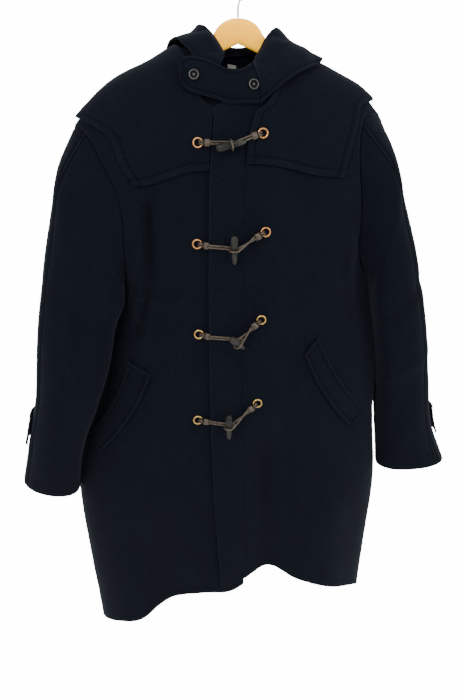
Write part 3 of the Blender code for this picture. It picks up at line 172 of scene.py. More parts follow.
# ---------------------------------------------------------------- curves
def spline(knots, values):
    """A smooth curve through values at rising knots; beyond its ends it keeps its end values."""
    last = len(knots) - 1
    slopes = []
    for i in range(last + 1):
        low, high = max(i - 1, 0), min(i + 1, last)
        slopes.append((values[high] - values[low]) / (knots[high] - knots[low]))

    def at(x):
        x = min(max(x, knots[0]), knots[-1])
        i = 0
        while i < last - 1 and x > knots[i + 1]:
            i += 1
        span = knots[i + 1] - knots[i]
        t = (x - knots[i]) / span
        rise = t * t * (3 - 2 * t)
        start = (t - 1) * (t - 1) * t * span
        end = (t - 1) * t * t * span
        return values[i] * (1 - rise) + values[i + 1] * rise + slopes[i] * start + slopes[i + 1] * end

    return at


def column(rows, key, value):
    """The spline of one named column of a table against another."""
    return spline([getattr(row, key) for row in rows], [getattr(row, value) for row in rows])


def smooth(low, high, x):
    """0 below low, 1 above high, with a soft step between."""
    t = min(max((x - low) / (high - low), 0.0), 1.0)
    return t * t * (3 - 2 * t)


def mix(a, b, t):
    return a * (1 - t) + b * t


def squared(angle, power):
    """Sine and cosine on a squarish circle."""
    s, c = math.sin(angle), math.cos(angle)
    size = (abs(s) ** power + abs(c) ** power) ** (-1 / power)
    return s * size, c * size


def squared_angle(share, power):
    """The angle whose sine on the squarish circle is the given share."""
    share = min(max(share, -1.0), 1.0)
    return math.atan2(share, max(1 - abs(share) ** power, 0.0) ** (1 / power))


# ---------------------------------------------------------------- the body's surface
ring_right = column(BODY_RINGS, "z", "right")
ring_left = column(BODY_RINGS, "z", "left")
ring_front = column(BODY_RINGS, "z", "front")
ring_back = column(BODY_RINGS, "z", "back")
shoulder_right = column(SHOULDER_LINE, "share", "right")
shoulder_left = column(SHOULDER_LINE, "share", "left")
hem_height = column(HEM, "angle", "z")
front_edge = column(FRONT_EDGE, "z", "x")
RIDGE = 2.0              # the surface runs from the hem (0) over the armpit (1) to the shoulders (2)
RIDGE_RING_Z = BODY_RINGS[-1].z


def ring_at(z):
    """Middle and half width of the body's ring at a height."""
    right, left = ring_right(z), ring_left(z)
    return (left + right) / 2, (left - right) / 2


def ridge_z(share):
    """Height of the shoulder line, for a share of the way to its tip."""
    return shoulder_left(share) if share > 0 else shoulder_right(-share)


def body(angle, v):
    """A point of the coat's outer face: angle round it from the front, v from the hem up."""
    if v > RIDGE:
        angle, v = 180 - angle, 2 * RIDGE - v
    turn = (angle + 180) % 360 - 180
    across, along = squared(math.radians(turn), ROUND_BODY)
    if v <= 1:
        z = mix(hem_height(turn), ARMPIT_Z, v)
        level, depth = z, 1.0
    else:
        up, depth = squared(math.radians(90 * (v - 1)), ROUND_SHOULDER)
        z = mix(ARMPIT_Z, ridge_z(across), up)
        level = mix(ARMPIT_Z, RIDGE_RING_Z, up)
    centre, half = ring_at(level)
    deep = ring_front(level) if along > 0 else ring_back(level)
    swell = 0.0
    for fold in FOLDS:
        run = smooth(fold.top_z, fold.low_z, z)
        off = (turn - mix(fold.top_angle, fold.low_angle, run) + 180) % 360 - 180
        begun = smooth(fold.top_z + FOLD_ABOVE, fold.top_z - FOLD_FADE, z)
        fade = smooth(fold.low_z, fold.low_z + FOLD_FADE, z) * begun
        swell += fold.depth * fade * math.exp(-(off / fold.width) ** 2)
    return Vector((centre + (half + swell) * across, -(deep * depth + swell) * along, z))


def body_frame(angle, v):
    """The body's point and its outward normal."""
    step = 0.002
    round_way = body(angle + 90 * step, v) - body(angle - 90 * step, v)
    up_way = body(angle, v + step) - body(angle, v - step)
    return body(angle, v), round_way.cross(up_way).normalized()


def height_share(v):
    """How far ring v has risen from the armpit to the shoulder line."""
    return squared(math.radians(90 * (v - 1)), ROUND_SHOULDER)[0]


def angle_at(x, v, front=True):
    """The angle at which the body's ring v reaches x."""
    angle = 0.0
    for _ in range(3):
        if v <= 1:
            level = mix(hem_height(angle), ARMPIT_Z, v)
        else:
            level = mix(ARMPIT_Z, RIDGE_RING_Z, height_share(v))
        centre, half = ring_at(level)
        angle = math.degrees(squared_angle((x - centre) / half, ROUND_BODY))
    return angle if front else 180 - angle


def v_at(x, z):
    """The ring that passes the height z at x on the front."""
    if z <= ARMPIT_Z:
        centre, half = ring_at(z)
        hem = hem_height(math.degrees(squared_angle((x - centre) / half, ROUND_BODY)))
        return (z - hem) / (ARMPIT_Z - hem)
    share = 0.5
    for _ in range(4):
        centre, half = ring_at(mix(ARMPIT_Z, RIDGE_RING_Z, share))
        share = (z - ARMPIT_Z) / (ridge_z((x - centre) / half) - ARMPIT_Z)
    return 1 + math.degrees(squared_angle(share, ROUND_SHOULDER)) / 90


def on_front(x, z, lift):
    """A point over the front, and the normal there."""
    v = v_at(x, z)
    point, normal = body_frame(angle_at(x, v), v)
    return point + normal * lift, normal


def lift_at(x):
    """How far the wearer's left front stands off where it covers the right one."""
    return OVERLAP_LIFT * (1 - smooth(*LIFT_FADE, x))


# ---------------------------------------------------------------- body panels
# the armhole's edge: height from the armpit (0) to the shoulder line (1), and its place on each side
ARMHOLE = table(
    "height right left",
    (0.00, 1.000, 1.000),
    (0.05, 0.935, 0.965),
    (0.12, 0.860, 0.930),
    (0.24, 0.790, 0.895),
    (0.34, 0.795, 0.860),
    (0.48, 0.860, 0.822),
    (0.62, 0.905, 0.840),
    (0.80, 0.955, 0.920),
    (1.00, 0.985, 0.985),
)
HALF_SEAM_ANGLE = 0.09   # half a seam at the side, as an angle
HALF_SEAM_RIDGE = 0.0009             # half a seam at the shoulder line, in rings
HALF_SLEEVE_SEAM = 0.40  # half a seam of a sleeve, in degrees round it
FRONT_COLUMNS = 12
OVERLAP_SHARE = 3 / FRONT_COLUMNS    # the columns of each front that share the overlap
FRONT_ROWS = 19
ROWS_TO_ARMPIT = 9 / FRONT_ROWS
ROWS_TO_NECK = 14 / FRONT_ROWS
BACK_COLUMNS = 18
BACK_ROWS = 19
BACK_ROWS_TO_ARMPIT = 9 / BACK_ROWS
BACK_NECK_SHARE = 6 / BACK_COLUMNS   # the columns under the back neck
NECK_V = 1.519           # ring of the front neck
NECK_SINK = 0.0016       # how far the under front gives way where the neckline starts
NECK_SINK_RINGS = (0.08, 0.12, 0.24)     # rings from that start down, and up to where this fades and ends
NECK_SINK_COLUMNS = (0.5, 0.7)       # the share of the front's width over which it sets in
NECK_COLUMNS = 0.01      # how far the overlap's columns reach out from the neck's edge at the shoulder
NECK_BEND = 0.38         # how soon the front neckline turns up
BACK_NECK_DEPTH = 0.305  # the back neck's depth at the middle, in rings
BACK_NECK_BEND = 0.6     # how soon the back neckline turns up
SHOULDER_TOP = RIDGE - HALF_SEAM_RIDGE
armhole_right = column(ARMHOLE, "height", "right")
armhole_left = column(ARMHOLE, "height", "left")


def armhole_share(side, v):
    """The armhole's place on the front or back, as a share of the half width."""
    if v <= 1:
        return 1.0
    return armhole_left(v - 1) if side > 0 else armhole_right(v - 1)


def outer_angle(side, v):
    """Where the front meets the side seam or the armhole."""
    angle = math.degrees(squared_angle(armhole_share(side, v), ROUND_BODY))
    return min(angle, 90 - HALF_SEAM_ANGLE)


def front_rows(t):
    """Rings of a front, with one at the armpit and one where the neckline starts."""
    if t < ROWS_TO_ARMPIT:
        return t / ROWS_TO_ARMPIT
    if t < ROWS_TO_NECK:
        return mix(1.0, NECK_V, (t - ROWS_TO_ARMPIT) / (ROWS_TO_NECK - ROWS_TO_ARMPIT))
    return mix(NECK_V, SHOULDER_TOP, (t - ROWS_TO_NECK) / (1 - ROWS_TO_NECK))


def body_centre(v):
    return ring_at(mix(ARMPIT_Z, RIDGE_RING_Z, height_share(v)))[0]


def neck_rise(v):
    """How far the front neckline has opened towards the shoulder at ring v, from 0 to 1."""
    return max((v - NECK_V) / (RIDGE - NECK_V), 0.0) ** NECK_BEND


def front_left_place(s, t):
    v = front_rows(t)
    if v < 1:
        v += HEM_RAISE * (1 - v) ** 3 * (1 - smooth(*HEM_RAISE_FADE, s))
    opened = neck_rise(v)
    shoulder = body_centre(v) + NECK_HALF
    edge = mix(front_edge(body(0, v).z), shoulder, opened)
    overlap_end = mix(UNDERLAP_X, shoulder + NECK_COLUMNS, opened)
    if s <= OVERLAP_SHARE:
        angle = mix(angle_at(edge, v), angle_at(overlap_end, v), s / OVERLAP_SHARE)
    else:
        angle = mix(angle_at(overlap_end, v), outer_angle(1, v), (s - OVERLAP_SHARE) / (1 - OVERLAP_SHARE))
    point, normal = body_frame(angle, v)
    return point + normal * lift_at(point.x), normal


def front_right_place(s, t):
    v = front_rows(t)
    opened = neck_rise(v)
    shoulder = body_centre(v) - NECK_HALF
    overlap_start = mix(front_edge(body(0, v).z), shoulder - NECK_COLUMNS, opened)
    edge = mix(UNDERLAP_X, shoulder, opened)
    if s >= 1 - OVERLAP_SHARE:
        angle = mix(angle_at(overlap_start, v), angle_at(edge, v), (s - 1 + OVERLAP_SHARE) / OVERLAP_SHARE)
    else:
        angle = mix(-outer_angle(-1, v), angle_at(overlap_start, v), s / (1 - OVERLAP_SHARE))
    point, normal = body_frame(angle, v)
    below, above, end = NECK_SINK_RINGS
    start = smooth(NECK_V - below, NECK_V, v) * (1 - smooth(NECK_V + above, NECK_V + end, v))
    return point - normal * NECK_SINK * start * smooth(*NECK_SINK_COLUMNS, s), normal


def back_neck_top(share):
    """The ring of the back's top edge, for a share of the neck's half width."""
    return SHOULDER_TOP - BACK_NECK_DEPTH * max(1 - share * share, 0.0) ** BACK_NECK_BEND


def back_spot(s, left, right, neck, top_neck):
    """Angle across the back: outside the neck's columns, then evenly over them."""
    flank = (1 - BACK_NECK_SHARE) / 2
    if s < flank:
        return mix(180 - left, 180 - neck, s / flank), top_neck
    if s > 1 - flank:
        return mix(180 + neck, 180 + right, (s - 1 + flank) / flank), top_neck
    share = 2 * (s - flank) / BACK_NECK_SHARE - 1
    return 180 + neck * share, back_neck_top(share)


def back_rows(t, top):
    if t < BACK_ROWS_TO_ARMPIT:
        return t / BACK_ROWS_TO_ARMPIT
    return mix(1.0, top, (t - BACK_ROWS_TO_ARMPIT) / (1 - BACK_ROWS_TO_ARMPIT))


NECK_ANGLE = math.degrees(squared_angle(NECK_HALF / ring_at(RIDGE_RING_Z)[1], ROUND_BODY))


def back_place(s, t):
    top = back_spot(s, 70, 70, NECK_ANGLE, SHOULDER_TOP)[1]
    v = back_rows(t, top)
    angle = back_spot(s, outer_angle(1, v), outer_angle(-1, v), NECK_ANGLE, SHOULDER_TOP)[0]
    return body_frame(angle, v)


# ---------------------------------------------------------------- sleeves
# a row for each ring: its place along the sleeve, its outer and inner points, and its depth
SLEEVE_COLUMNS = "along outer_x outer_z inner_x inner_z middle_y deep"
SLEEVE_RIGHT = table(
    SLEEVE_COLUMNS,
    (0.10, -0.3020, -0.292, -0.2195, -0.506, -0.006, 0.078),
    (0.24, -0.3190, -0.372, -0.2185, -0.530, -0.020, 0.076),
    (0.40, -0.3395, -0.472, -0.2225, -0.570, -0.036, 0.072),
    (0.56, -0.3545, -0.580, -0.2375, -0.633, -0.058, 0.067),
    (0.71, -0.3655, -0.681, -0.2640, -0.709, -0.064, 0.062),
    (0.86, -0.3850, -0.769, -0.2920, -0.794, -0.056, 0.058),
    (1.00, -0.4050, -0.858, -0.3020, -0.883, -0.040, 0.055),
)
SLEEVE_LEFT = table(
    SLEEVE_COLUMNS,
    (0.10, 0.2620, -0.262, 0.2315, -0.506, -0.006, 0.080),
    (0.24, 0.2850, -0.342, 0.2340, -0.524, -0.012, 0.078),
    (0.40, 0.3155, -0.450, 0.2380, -0.560, -0.021, 0.073),
    (0.56, 0.3390, -0.560, 0.2470, -0.620, -0.030, 0.066),
    (0.71, 0.3545, -0.670, 0.2570, -0.705, -0.031, 0.059),
    (0.86, 0.3710, -0.778, 0.2645, -0.795, -0.029, 0.052),
    (1.00, 0.4050, -0.866, 0.2720, -0.873, -0.027, 0.045),
)
# cloth that hangs forward over the body's side under each arm: its place round and along the
# sleeve, its spread, and how far it comes inward and forward
DRAPES = table(
    "side turn width along length inward forward",
    (1, 128, 26, 0.42, 0.30, 0.010, 0.008),
    (-1, 126, 27, 0.22, 0.18, 0.034, 0.018),
    (-1, 150, 24, 0.11, 0.09, 0.014, 0.017),
    (-1, 145, 32, 0.64, 0.22, 0.007, 0.004),
)
ROUND_SLEEVE = 2.25
ARMHOLE_GAP = 0.0007
# rows of the front between the shoulder line and the outer seam of the left and the right sleeve
SEAM_ROWS = (4, 3)
HEAD_SHARE = 0.085       # the part of a sleeve where its wall turns from the body's way to its own
UNDER_ARM = (-0.2, -1.0) # cosines of the turns between which the sleeve's seam comes to lie underneath


def armhole(side, turn):
    """A point of the armhole's edge and the body's normal there; turn 0 is the shoulder, 90 the front."""
    ahead = turn % 360 < 180
    height = (1 + math.cos(math.radians(turn))) / 2
    v = 1 + math.degrees(squared_angle(height, ROUND_SHOULDER)) / 90
    v = min(v, RIDGE - 0.0001)
    reach = outer_angle(side, v)
    angle = reach if ahead else 180 - reach
    step = 0.5 if ahead else -0.5
    point, normal = body_frame(side * angle, v)
    outward = (body(side * (angle + step), v) - body(side * (angle - step), v)).normalized()
    under = smooth(*UNDER_ARM, math.cos(math.radians(turn)))
    normal = (normal * (1 - under) + Vector((0, 0, -1)) * under).normalized()
    return point + outward * ARMHOLE_GAP + Vector((0, 0, ARMHOLE_GAP * under)), normal


def turn_at(v):
    """The turn round the armhole at a ring of the body."""
    return math.degrees(math.acos(2 * height_share(v) - 1))


def sleeve_turns(seam_row):
    """Turns of the two sleeve pieces' columns, which meet the rows of the body panels."""
    front_low, back_low = round(ROWS_TO_ARMPIT * FRONT_ROWS), round(BACK_ROWS_TO_ARMPIT * BACK_ROWS)
    front = [turn_at(front_rows(row / FRONT_ROWS)) for row in range(FRONT_ROWS, front_low - 1, -1)]
    back = [360 - turn_at(back_rows(row / BACK_ROWS, RIDGE)) for row in range(back_low, BACK_ROWS)]
    seam = front[seam_row]
    first = [seam + HALF_SLEEVE_SEAM] + front[seam_row + 1:-1] + [180 - HALF_SLEEVE_SEAM]
    over = [360 + turn for turn in [0.0] + front[1:seam_row] + [seam - HALF_SLEEVE_SEAM]]
    second = [180 + HALF_SLEEVE_SEAM] + back[1:] + over
    return first, second


def sleeve_point(side, rows, turn):
    """The spline along the sleeve at one turn round it."""
    drapes = [drape for drape in DRAPES if drape.side == side]
    across, along = squared(math.radians(turn), ROUND_SLEEVE)
    knots, points = [0.0], [armhole(side, turn)[0]]
    for row in rows:
        outer = Vector((row.outer_x, row.middle_y, row.outer_z))
        inner = Vector((row.inner_x, row.middle_y, row.inner_z))
        middle = (outer + inner) / 2
        point = middle + (outer - middle) * along - Vector((0, row.deep * across, 0))
        for drape in drapes:
            off = ((turn + 360) % 360 - drape.turn) / drape.width
            hang = math.exp(-off * off - ((row.along - drape.along) / drape.length) ** 2)
            point -= Vector((side * drape.inward, drape.forward, 0)) * hang
        points.append(point)
        knots.append(row.along)
    return spline(knots, points)


def sleeve_place(side, rows, turns):
    """A sleeve piece over the given turns round the tube."""
    tracks = {}

    def track(turn):
        if turn not in tracks:
            tracks[turn] = sleeve_point(side, rows, turn)
        return tracks[turn]

    def place(s, t):
        spot = s * (len(turns) - 1)
        index = min(int(spot + 0.0001), len(turns) - 2)
        turn = mix(turns[index], turns[index + 1], spot - index)
        here = track(turn)(t)
        round_way = track(turn + 2)(t) - track(turn - 2)(t)
        down_way = track(turn)(min(t + 0.01, 1.0)) - track(turn)(max(t - 0.01, 0.0))
        normal = round_way.cross(down_way).normalized() * side
        keep = 1 - smooth(0.0, HEAD_SHARE, t)
        return here, (armhole(side, turn)[1] * keep + normal * (1 - keep)).normalized()

    return place


# ---------------------------------------------------------------- the yoke over the shoulders
YOKE_LIFT = CLOTH + LOOSE
# where the wearer's left flap's front edge and outer edge are, by height
YOKE_LEFT = table(
    "z inner outer",
    (-0.303, 0.001, 0.163),
    (-0.275, 0.002, 0.172),
    (-0.233, 0.006, 0.190),
    (-0.187, 0.021, 0.224),
)
YOKE_RIGHT = table(
    "z outer",
    (-0.310, -0.177),
    (-0.285, -0.198),
    (-0.233, -0.244),
    (-0.187, -0.256),
)
YOKE_LEFT_LOW = (-0.276, -0.303)     # heights of the lower edge at the front edge and at the corner
YOKE_RIGHT_LOW = (-0.286, -0.311)
YOKE_WAVE = 0.003
YOKE_TIP_LEFT = 0.2225
YOKE_TIP_RIGHT = -0.262
YOKE_BACK_LOW = (-0.300, -0.310)     # at the middle and at the corners
YOKE_BACK_CORNER = 0.172
YOKE_NECK_GAP = 0.003
YOKE_RIDGE = 0.0022      # how much more the yoke stands off along the shoulders
YOKE_RIDGE_RINGS = (1.55, 1.85)      # the rings over which it does so
YOKE_EDGE_GAP = 0.0012
YOKE_NECK_RINGS = 0.03   # how far the yoke stays below the back neck, in rings
YOKE_HALF_SHARE = 0.5    # how far up its outer edge starts to turn towards the tip
YOKE_BACK_BEND = 1.6     # how late the back's outer edge turns out to the tip
yoke_left_inner = column(YOKE_LEFT, "z", "inner")
yoke_left_outer = column(YOKE_LEFT, "z", "outer")
yoke_right_outer = column(YOKE_RIGHT, "z", "outer")


def yoke_right_inner(z):
    """The right flap ends just before the overlap's edge."""
    return front_edge(z) - YOKE_EDGE_GAP


def yoke_flap(side, inner, outer, low, tip):
    """Half of the yoke's front: from its lower edge up to the shoulder line."""
    def place(s, t):
        low_z = mix(low[0], low[1], s) + YOKE_WAVE * math.sin(2 * math.pi * s)
        low_x = mix(inner(low_z), outer(low_z), s)
        v = mix(v_at(low_x, low_z), SHOULDER_TOP, t)
        z = body(0, v).z
        opened = neck_rise(v)
        start = mix(inner(z), body_centre(v) + side * (NECK_HALF + YOKE_NECK_GAP), opened)
        reach = outer(low_z)
        for _ in range(2):
            reach = outer(body(angle_at(reach, v), v).z)
        stop = mix(reach, tip, smooth(YOKE_HALF_SHARE, 1.0, t))
        angle = angle_at(mix(start, stop, s), v)
        point, normal = body_frame(angle, v)
        lift = YOKE_LIFT + YOKE_RIDGE * smooth(*YOKE_RIDGE_RINGS, v) + lift_at(point.x) * (side > 0)
        return point + normal * lift, normal

    return place


def yoke_back_place(s, t):
    """The yoke's back, from its lower edge up to the shoulder line and the back neck."""
    share = 2 * s - 1
    low_z = mix(YOKE_BACK_LOW[0], YOKE_BACK_LOW[1], abs(share))
    centre = body_centre(RIDGE)
    low_x = centre - share * YOKE_BACK_CORNER
    tip = YOKE_TIP_RIGHT if share > 0 else YOKE_TIP_LEFT
    half = abs(tip - centre)
    neck_share = (NECK_HALF + YOKE_NECK_GAP) / half
    top = SHOULDER_TOP
    if abs(share) < neck_share:
        top = back_neck_top(share / neck_share) - YOKE_NECK_RINGS
    v = mix(v_at(low_x, low_z), top, t)
    x = mix(low_x, centre - share * half, t ** YOKE_BACK_BEND)
    point, normal = body_frame(angle_at(x, v, front=False), v)
    return point + normal * (YOKE_LIFT + YOKE_RIDGE * smooth(*YOKE_RIDGE_RINGS, v)), normal


# ---------------------------------------------------------------- throat tab and hood
# a row for each place along the throat tab, from its free round end to the hood
THROAT_TAB = table(
    "low_x low_y low_z high_x high_y high_z",
    (-0.0990, -0.0735, -0.1480, -0.0990, -0.0660, -0.1280),
    (-0.0940, -0.0785, -0.1600, -0.0935, -0.0640, -0.1190),
    (-0.0840, -0.0820, -0.1670, -0.0830, -0.0640, -0.1160),
    (-0.0700, -0.0840, -0.1720, -0.0700, -0.0660, -0.1172),
    (-0.0540, -0.0860, -0.1760, -0.0540, -0.0715, -0.1215),
    (-0.0400, -0.0880, -0.1800, -0.0400, -0.0765, -0.1275),
    (-0.0260, -0.0895, -0.1852, -0.0260, -0.0805, -0.1333),
    (-0.0030, -0.0895, -0.1855, -0.0030, -0.0810, -0.1334),
    (0.0246, -0.0888, -0.1855, 0.0127, -0.0760, -0.1260),
)
TAB_BULGE = 0.004
TAB_END = 0.004          # how far its sewn end curves out
TAB_ON_YOKE = (-0.055, -0.035)       # where the tab comes off the yoke, in x

# a row for each place round the neck, from the front to the middle of the back: where the hood
# is sewn on, where it rolls over, how it falls, its fold at the bottom, and the hood's open edge
HOOD_COLUMNS = "along seam roll fall fold lip"
HOOD_LEFT = table(
    HOOD_COLUMNS,
    (0.00, (0.0180, -0.0630, -0.1550), (0.0150, -0.0760, -0.1250),
     (0.0228, -0.0840, -0.1450), (0.0262, -0.0885, -0.1650), (0.0264, -0.0895, -0.1855)),
    (0.12, (0.0330, -0.0500, -0.1330), (0.0195, -0.0560, -0.1190),
     (0.0290, -0.0720, -0.1330), (0.0370, -0.0820, -0.1510), (0.0440, -0.0885, -0.1700)),
    (0.24, (0.0440, -0.0370, -0.1170), (0.0295, -0.0320, -0.1100),
     (0.0420, -0.0540, -0.1200), (0.0540, -0.0705, -0.1370), (0.0650, -0.0815, -0.1545)),
    (0.35, (0.0530, -0.0240, -0.1090), (0.0450, -0.0130, -0.0880),
     (0.0600, -0.0350, -0.1030), (0.0750, -0.0550, -0.1210), (0.0880, -0.0700, -0.1415)),
    (0.46, (0.0610, 0.0000, -0.1030), (0.0595, 0.0020, -0.0768),
     (0.0800, -0.0120, -0.0945), (0.1010, -0.0340, -0.1100), (0.1140, -0.0500, -0.1330)),
    (0.58, (0.0560, 0.0120, -0.1060), (0.0670, 0.0240, -0.0805),
     (0.0930, 0.0200, -0.1040), (0.1190, 0.0060, -0.1190), (0.1320, -0.0180, -0.1320)),
    (0.70, (0.0400, 0.0230, -0.1120), (0.0490, 0.0410, -0.1005),
     (0.0900, 0.0640, -0.1400), (0.1200, 0.0800, -0.1950), (0.1290, 0.0800, -0.1500)),
    (0.85, (0.0160, 0.0310, -0.1180), (0.0205, 0.0480, -0.1130),
     (0.0480, 0.0930, -0.2050), (0.0800, 0.1250, -0.3250), (0.0900, 0.1380, -0.1800)),
    (1.00, (-0.0135, 0.0330, -0.1200), (-0.0135, 0.0500, -0.1145),
     (-0.0135, 0.1030, -0.2300), (-0.0135, 0.1420, -0.3900), (-0.0135, 0.1640, -0.1950)),
)
HOOD_RIGHT = table(
    HOOD_COLUMNS,
    (0.00, (-0.0470, -0.0630, -0.1550), (-0.0310, -0.0650, -0.1175),
     (-0.0320, -0.0695, -0.1205), (-0.0350, -0.0725, -0.1275), (-0.0370, -0.0740, -0.1400)),
    (0.12, (-0.0620, -0.0500, -0.1330), (-0.0275, -0.0500, -0.1125),
     (-0.0370, -0.0580, -0.1130), (-0.0470, -0.0630, -0.1165), (-0.0560, -0.0660, -0.1310)),
    (0.24, (-0.0720, -0.0370, -0.1170), (-0.0300, -0.0300, -0.1070),
     (-0.0440, -0.0400, -0.1060), (-0.0580, -0.0480, -0.1100), (-0.0710, -0.0560, -0.1260)),
    (0.35, (-0.0800, -0.0240, -0.1090), (-0.0440, -0.0120, -0.0850),
     (-0.0550, -0.0240, -0.0880), (-0.0670, -0.0330, -0.0980), (-0.0790, -0.0420, -0.1160)),
    (0.46, (-0.0885, 0.0000, -0.1010), (-0.0570, 0.0000, -0.0730),
     (-0.0680, -0.0080, -0.0800), (-0.0800, -0.0170, -0.0940), (-0.0880, -0.0250, -0.1140)),
    (0.58, (-0.0830, 0.0120, -0.1040), (-0.0660, 0.0240, -0.0780),
     (-0.0810, 0.0220, -0.0900), (-0.0900, 0.0140, -0.1030), (-0.0950, 0.0000, -0.1160)),
    (0.70, (-0.0670, 0.0230, -0.1110), (-0.0630, 0.0410, -0.0985),
     (-0.0950, 0.0640, -0.1300), (-0.1300, 0.0800, -0.1850), (-0.1340, 0.0800, -0.1400)),
    (0.85, (-0.0430, 0.0310, -0.1180), (-0.0460, 0.0480, -0.1130),
     (-0.0740, 0.0930, -0.2050), (-0.1060, 0.1250, -0.3200), (-0.1160, 0.1380, -0.1750)),
    (1.00, (-0.0145, 0.0330, -0.1200), (-0.0145, 0.0500, -0.1145),
     (-0.0145, 0.1030, -0.2300), (-0.0145, 0.1420, -0.3900), (-0.0145, 0.1640, -0.1950)),
)
HOOD_KNOTS = (0.0, 0.22, 0.42, 0.68, 1.0)
HOOD_RIDGE = 0.0055      # how much more it stands off over the shoulder line
HOOD_RIDGE_FADE = (0.02, 0.05)       # how far from that line this fades
HOOD_OUT = 0.0030        # how far the fallen hood stands off the yoke


def surface_place(point, flip=1.0):
    """Turns point(s, t) into a place with its normal."""
    step = 0.004

    def place(s, t):
        wide = point(min(s + step, 1.0), t) - point(max(s - step, 0.0), t)
        tall = point(s, min(t + step, 1.0)) - point(s, max(t - step, 0.0))
        return point(s, t), wide.cross(tall).normalized() * flip

    return place


def even(rows, *keys):
    """Splines of a table's columns at even steps from 0 to 1."""
    knots = [i / (len(rows) - 1) for i in range(len(rows))]
    return [spline(knots, [getattr(row, key) for row in rows]) for key in keys]


def throat_tab_point():
    names = ("low_x", "low_y", "low_z", "high_x", "high_y", "high_z")
    low_x, low_y, low_z, high_x, high_y, high_z = even(THROAT_TAB, *names)

    def point(s, t):
        low = Vector((low_x(s), low_y(s), low_z(s)))
        high = Vector((high_x(s), high_y(s), high_z(s)))
        belly = math.sin(math.pi * t)
        spot = mix(low, high, t) + Vector((TAB_END * smooth(0.8, 1.0, s) * belly, -TAB_BULGE * belly, 0))
        over_yoke = 1 - smooth(*TAB_ON_YOKE, spot.x)
        return mix(spot, stand_off(spot, YOKE_LIFT + CLOTH + LOOSE), over_yoke)

    return point


def guide(rows, key):
    return spline([row.along for row in rows], [Vector(getattr(row, key)) for row in rows])


def body_gap(point):
    """About how far a point above the armpits is outside the body's surface; negative inside it."""
    centre, half = ring_at(mix(ARMPIT_Z, RIDGE_RING_Z, 0.9))
    share = min(max((point.x - centre) / half, -1.0), 1.0)
    up = max((point.z - ARMPIT_Z) / (ridge_z(share) - ARMPIT_Z), 0.0)
    level = mix(ARMPIT_Z, RIDGE_RING_Z, min(up, 1.0))
    deep = ring_front(level) if point.y < 0 else ring_back(level)
    deep *= max(1 - abs(share) ** ROUND_BODY, 0.02) ** (1 / ROUND_BODY)
    size = (up ** ROUND_SHOULDER + abs(point.y / deep) ** ROUND_SHOULDER) ** (1 / ROUND_SHOULDER)
    return size - 1


def stand_off(point, need):
    """Moves a point so that it is at least need outside the body's surface."""
    for _ in range(4):
        step = 0.001
        here = body_gap(point)
        rise = Vector([body_gap(point + axis * step) - here for axis in Matrix.Identity(3)]) / step
        gap = here / rise.length
        point = point + rise.normalized() * max(need - gap, 0.0)
    return point


def hood_point(rows):
    """Half of the hood: up from the neck seam, over the roll, down, and up again to its open edge."""
    guides = [guide(rows, key) for key in ("seam", "roll", "fall", "fold", "lip")]

    def point(s, t):
        spot = spline(HOOD_KNOTS, [track(s) for track in guides])(t)
        lies = smooth(HOOD_KNOTS[1], HOOD_KNOTS[2], t)
        need = YOKE_LIFT + CLOTH + HOOD_OUT + HOOD_RIDGE * (1 - smooth(*HOOD_RIDGE_FADE, abs(spot.y)))
        return mix(spot, stand_off(spot, need), lies)

    return point


# ---------------------------------------------------------------- pockets and cuff straps
# a row for each place down a pocket's welt: its stitched edge and its open edge
WELT_COLUMNS = "sewn_x sewn_z open_x open_z"
WELT_LEFT = table(
    WELT_COLUMNS,
    (0.103, -0.600, 0.126, -0.572),
    (0.128, -0.657, 0.162, -0.643),
    (0.172, -0.725, 0.199, -0.699),
    (0.199, -0.756, 0.222, -0.731),
)
WELT_RIGHT = table(
    WELT_COLUMNS,
    (-0.160, -0.634, -0.194, -0.613),
    (-0.187, -0.695, -0.216, -0.670),
    (-0.222, -0.750, -0.246, -0.726),
    (-0.255, -0.790, -0.279, -0.776),
)
WELT_THICK = 0.0025
WELT_LOOSE = 0.0026      # over the folds behind it
STRAP_TOP = (0.816, 0.768)           # along the left and the right sleeve
STRAP_LOW = (0.904, 0.866)
STRAP_START = 20                     # turns round the sleeve, from the outer seam to behind
STRAP_END = -105
STRAP_THICK = 0.003
STRAP_LOOSE = 0.0027
STRAP_ROUND = 0.25       # how much of its width the strap's end is rounded off by, on each side
STRAP_ROUND_END = 0.15   # the share of its length over which it is
STRAP_BUTTON = 0.14


def welt_place(rows):
    sewn_x, sewn_z, open_x, open_z = even(rows, "sewn_x", "sewn_z", "open_x", "open_z")

    def place(s, t):
        x, z = mix(sewn_x(s), open_x(s), t), mix(sewn_z(s), open_z(s), t)
        return on_front(x, z, WELT_THICK + WELT_LOOSE)

    return place


def strap_place(around, index):
    """A strap round the back of a cuff, with its end rounded off."""
    def place(s, t):
        round_off = STRAP_ROUND * (1 - smooth(0.0, STRAP_ROUND_END, s))
        share = mix(round_off, 1 - round_off, t)
        point, normal = around(s, mix(STRAP_LOW[index], STRAP_TOP[index], share))
        return point + normal * (STRAP_THICK + STRAP_LOOSE), normal

    return place


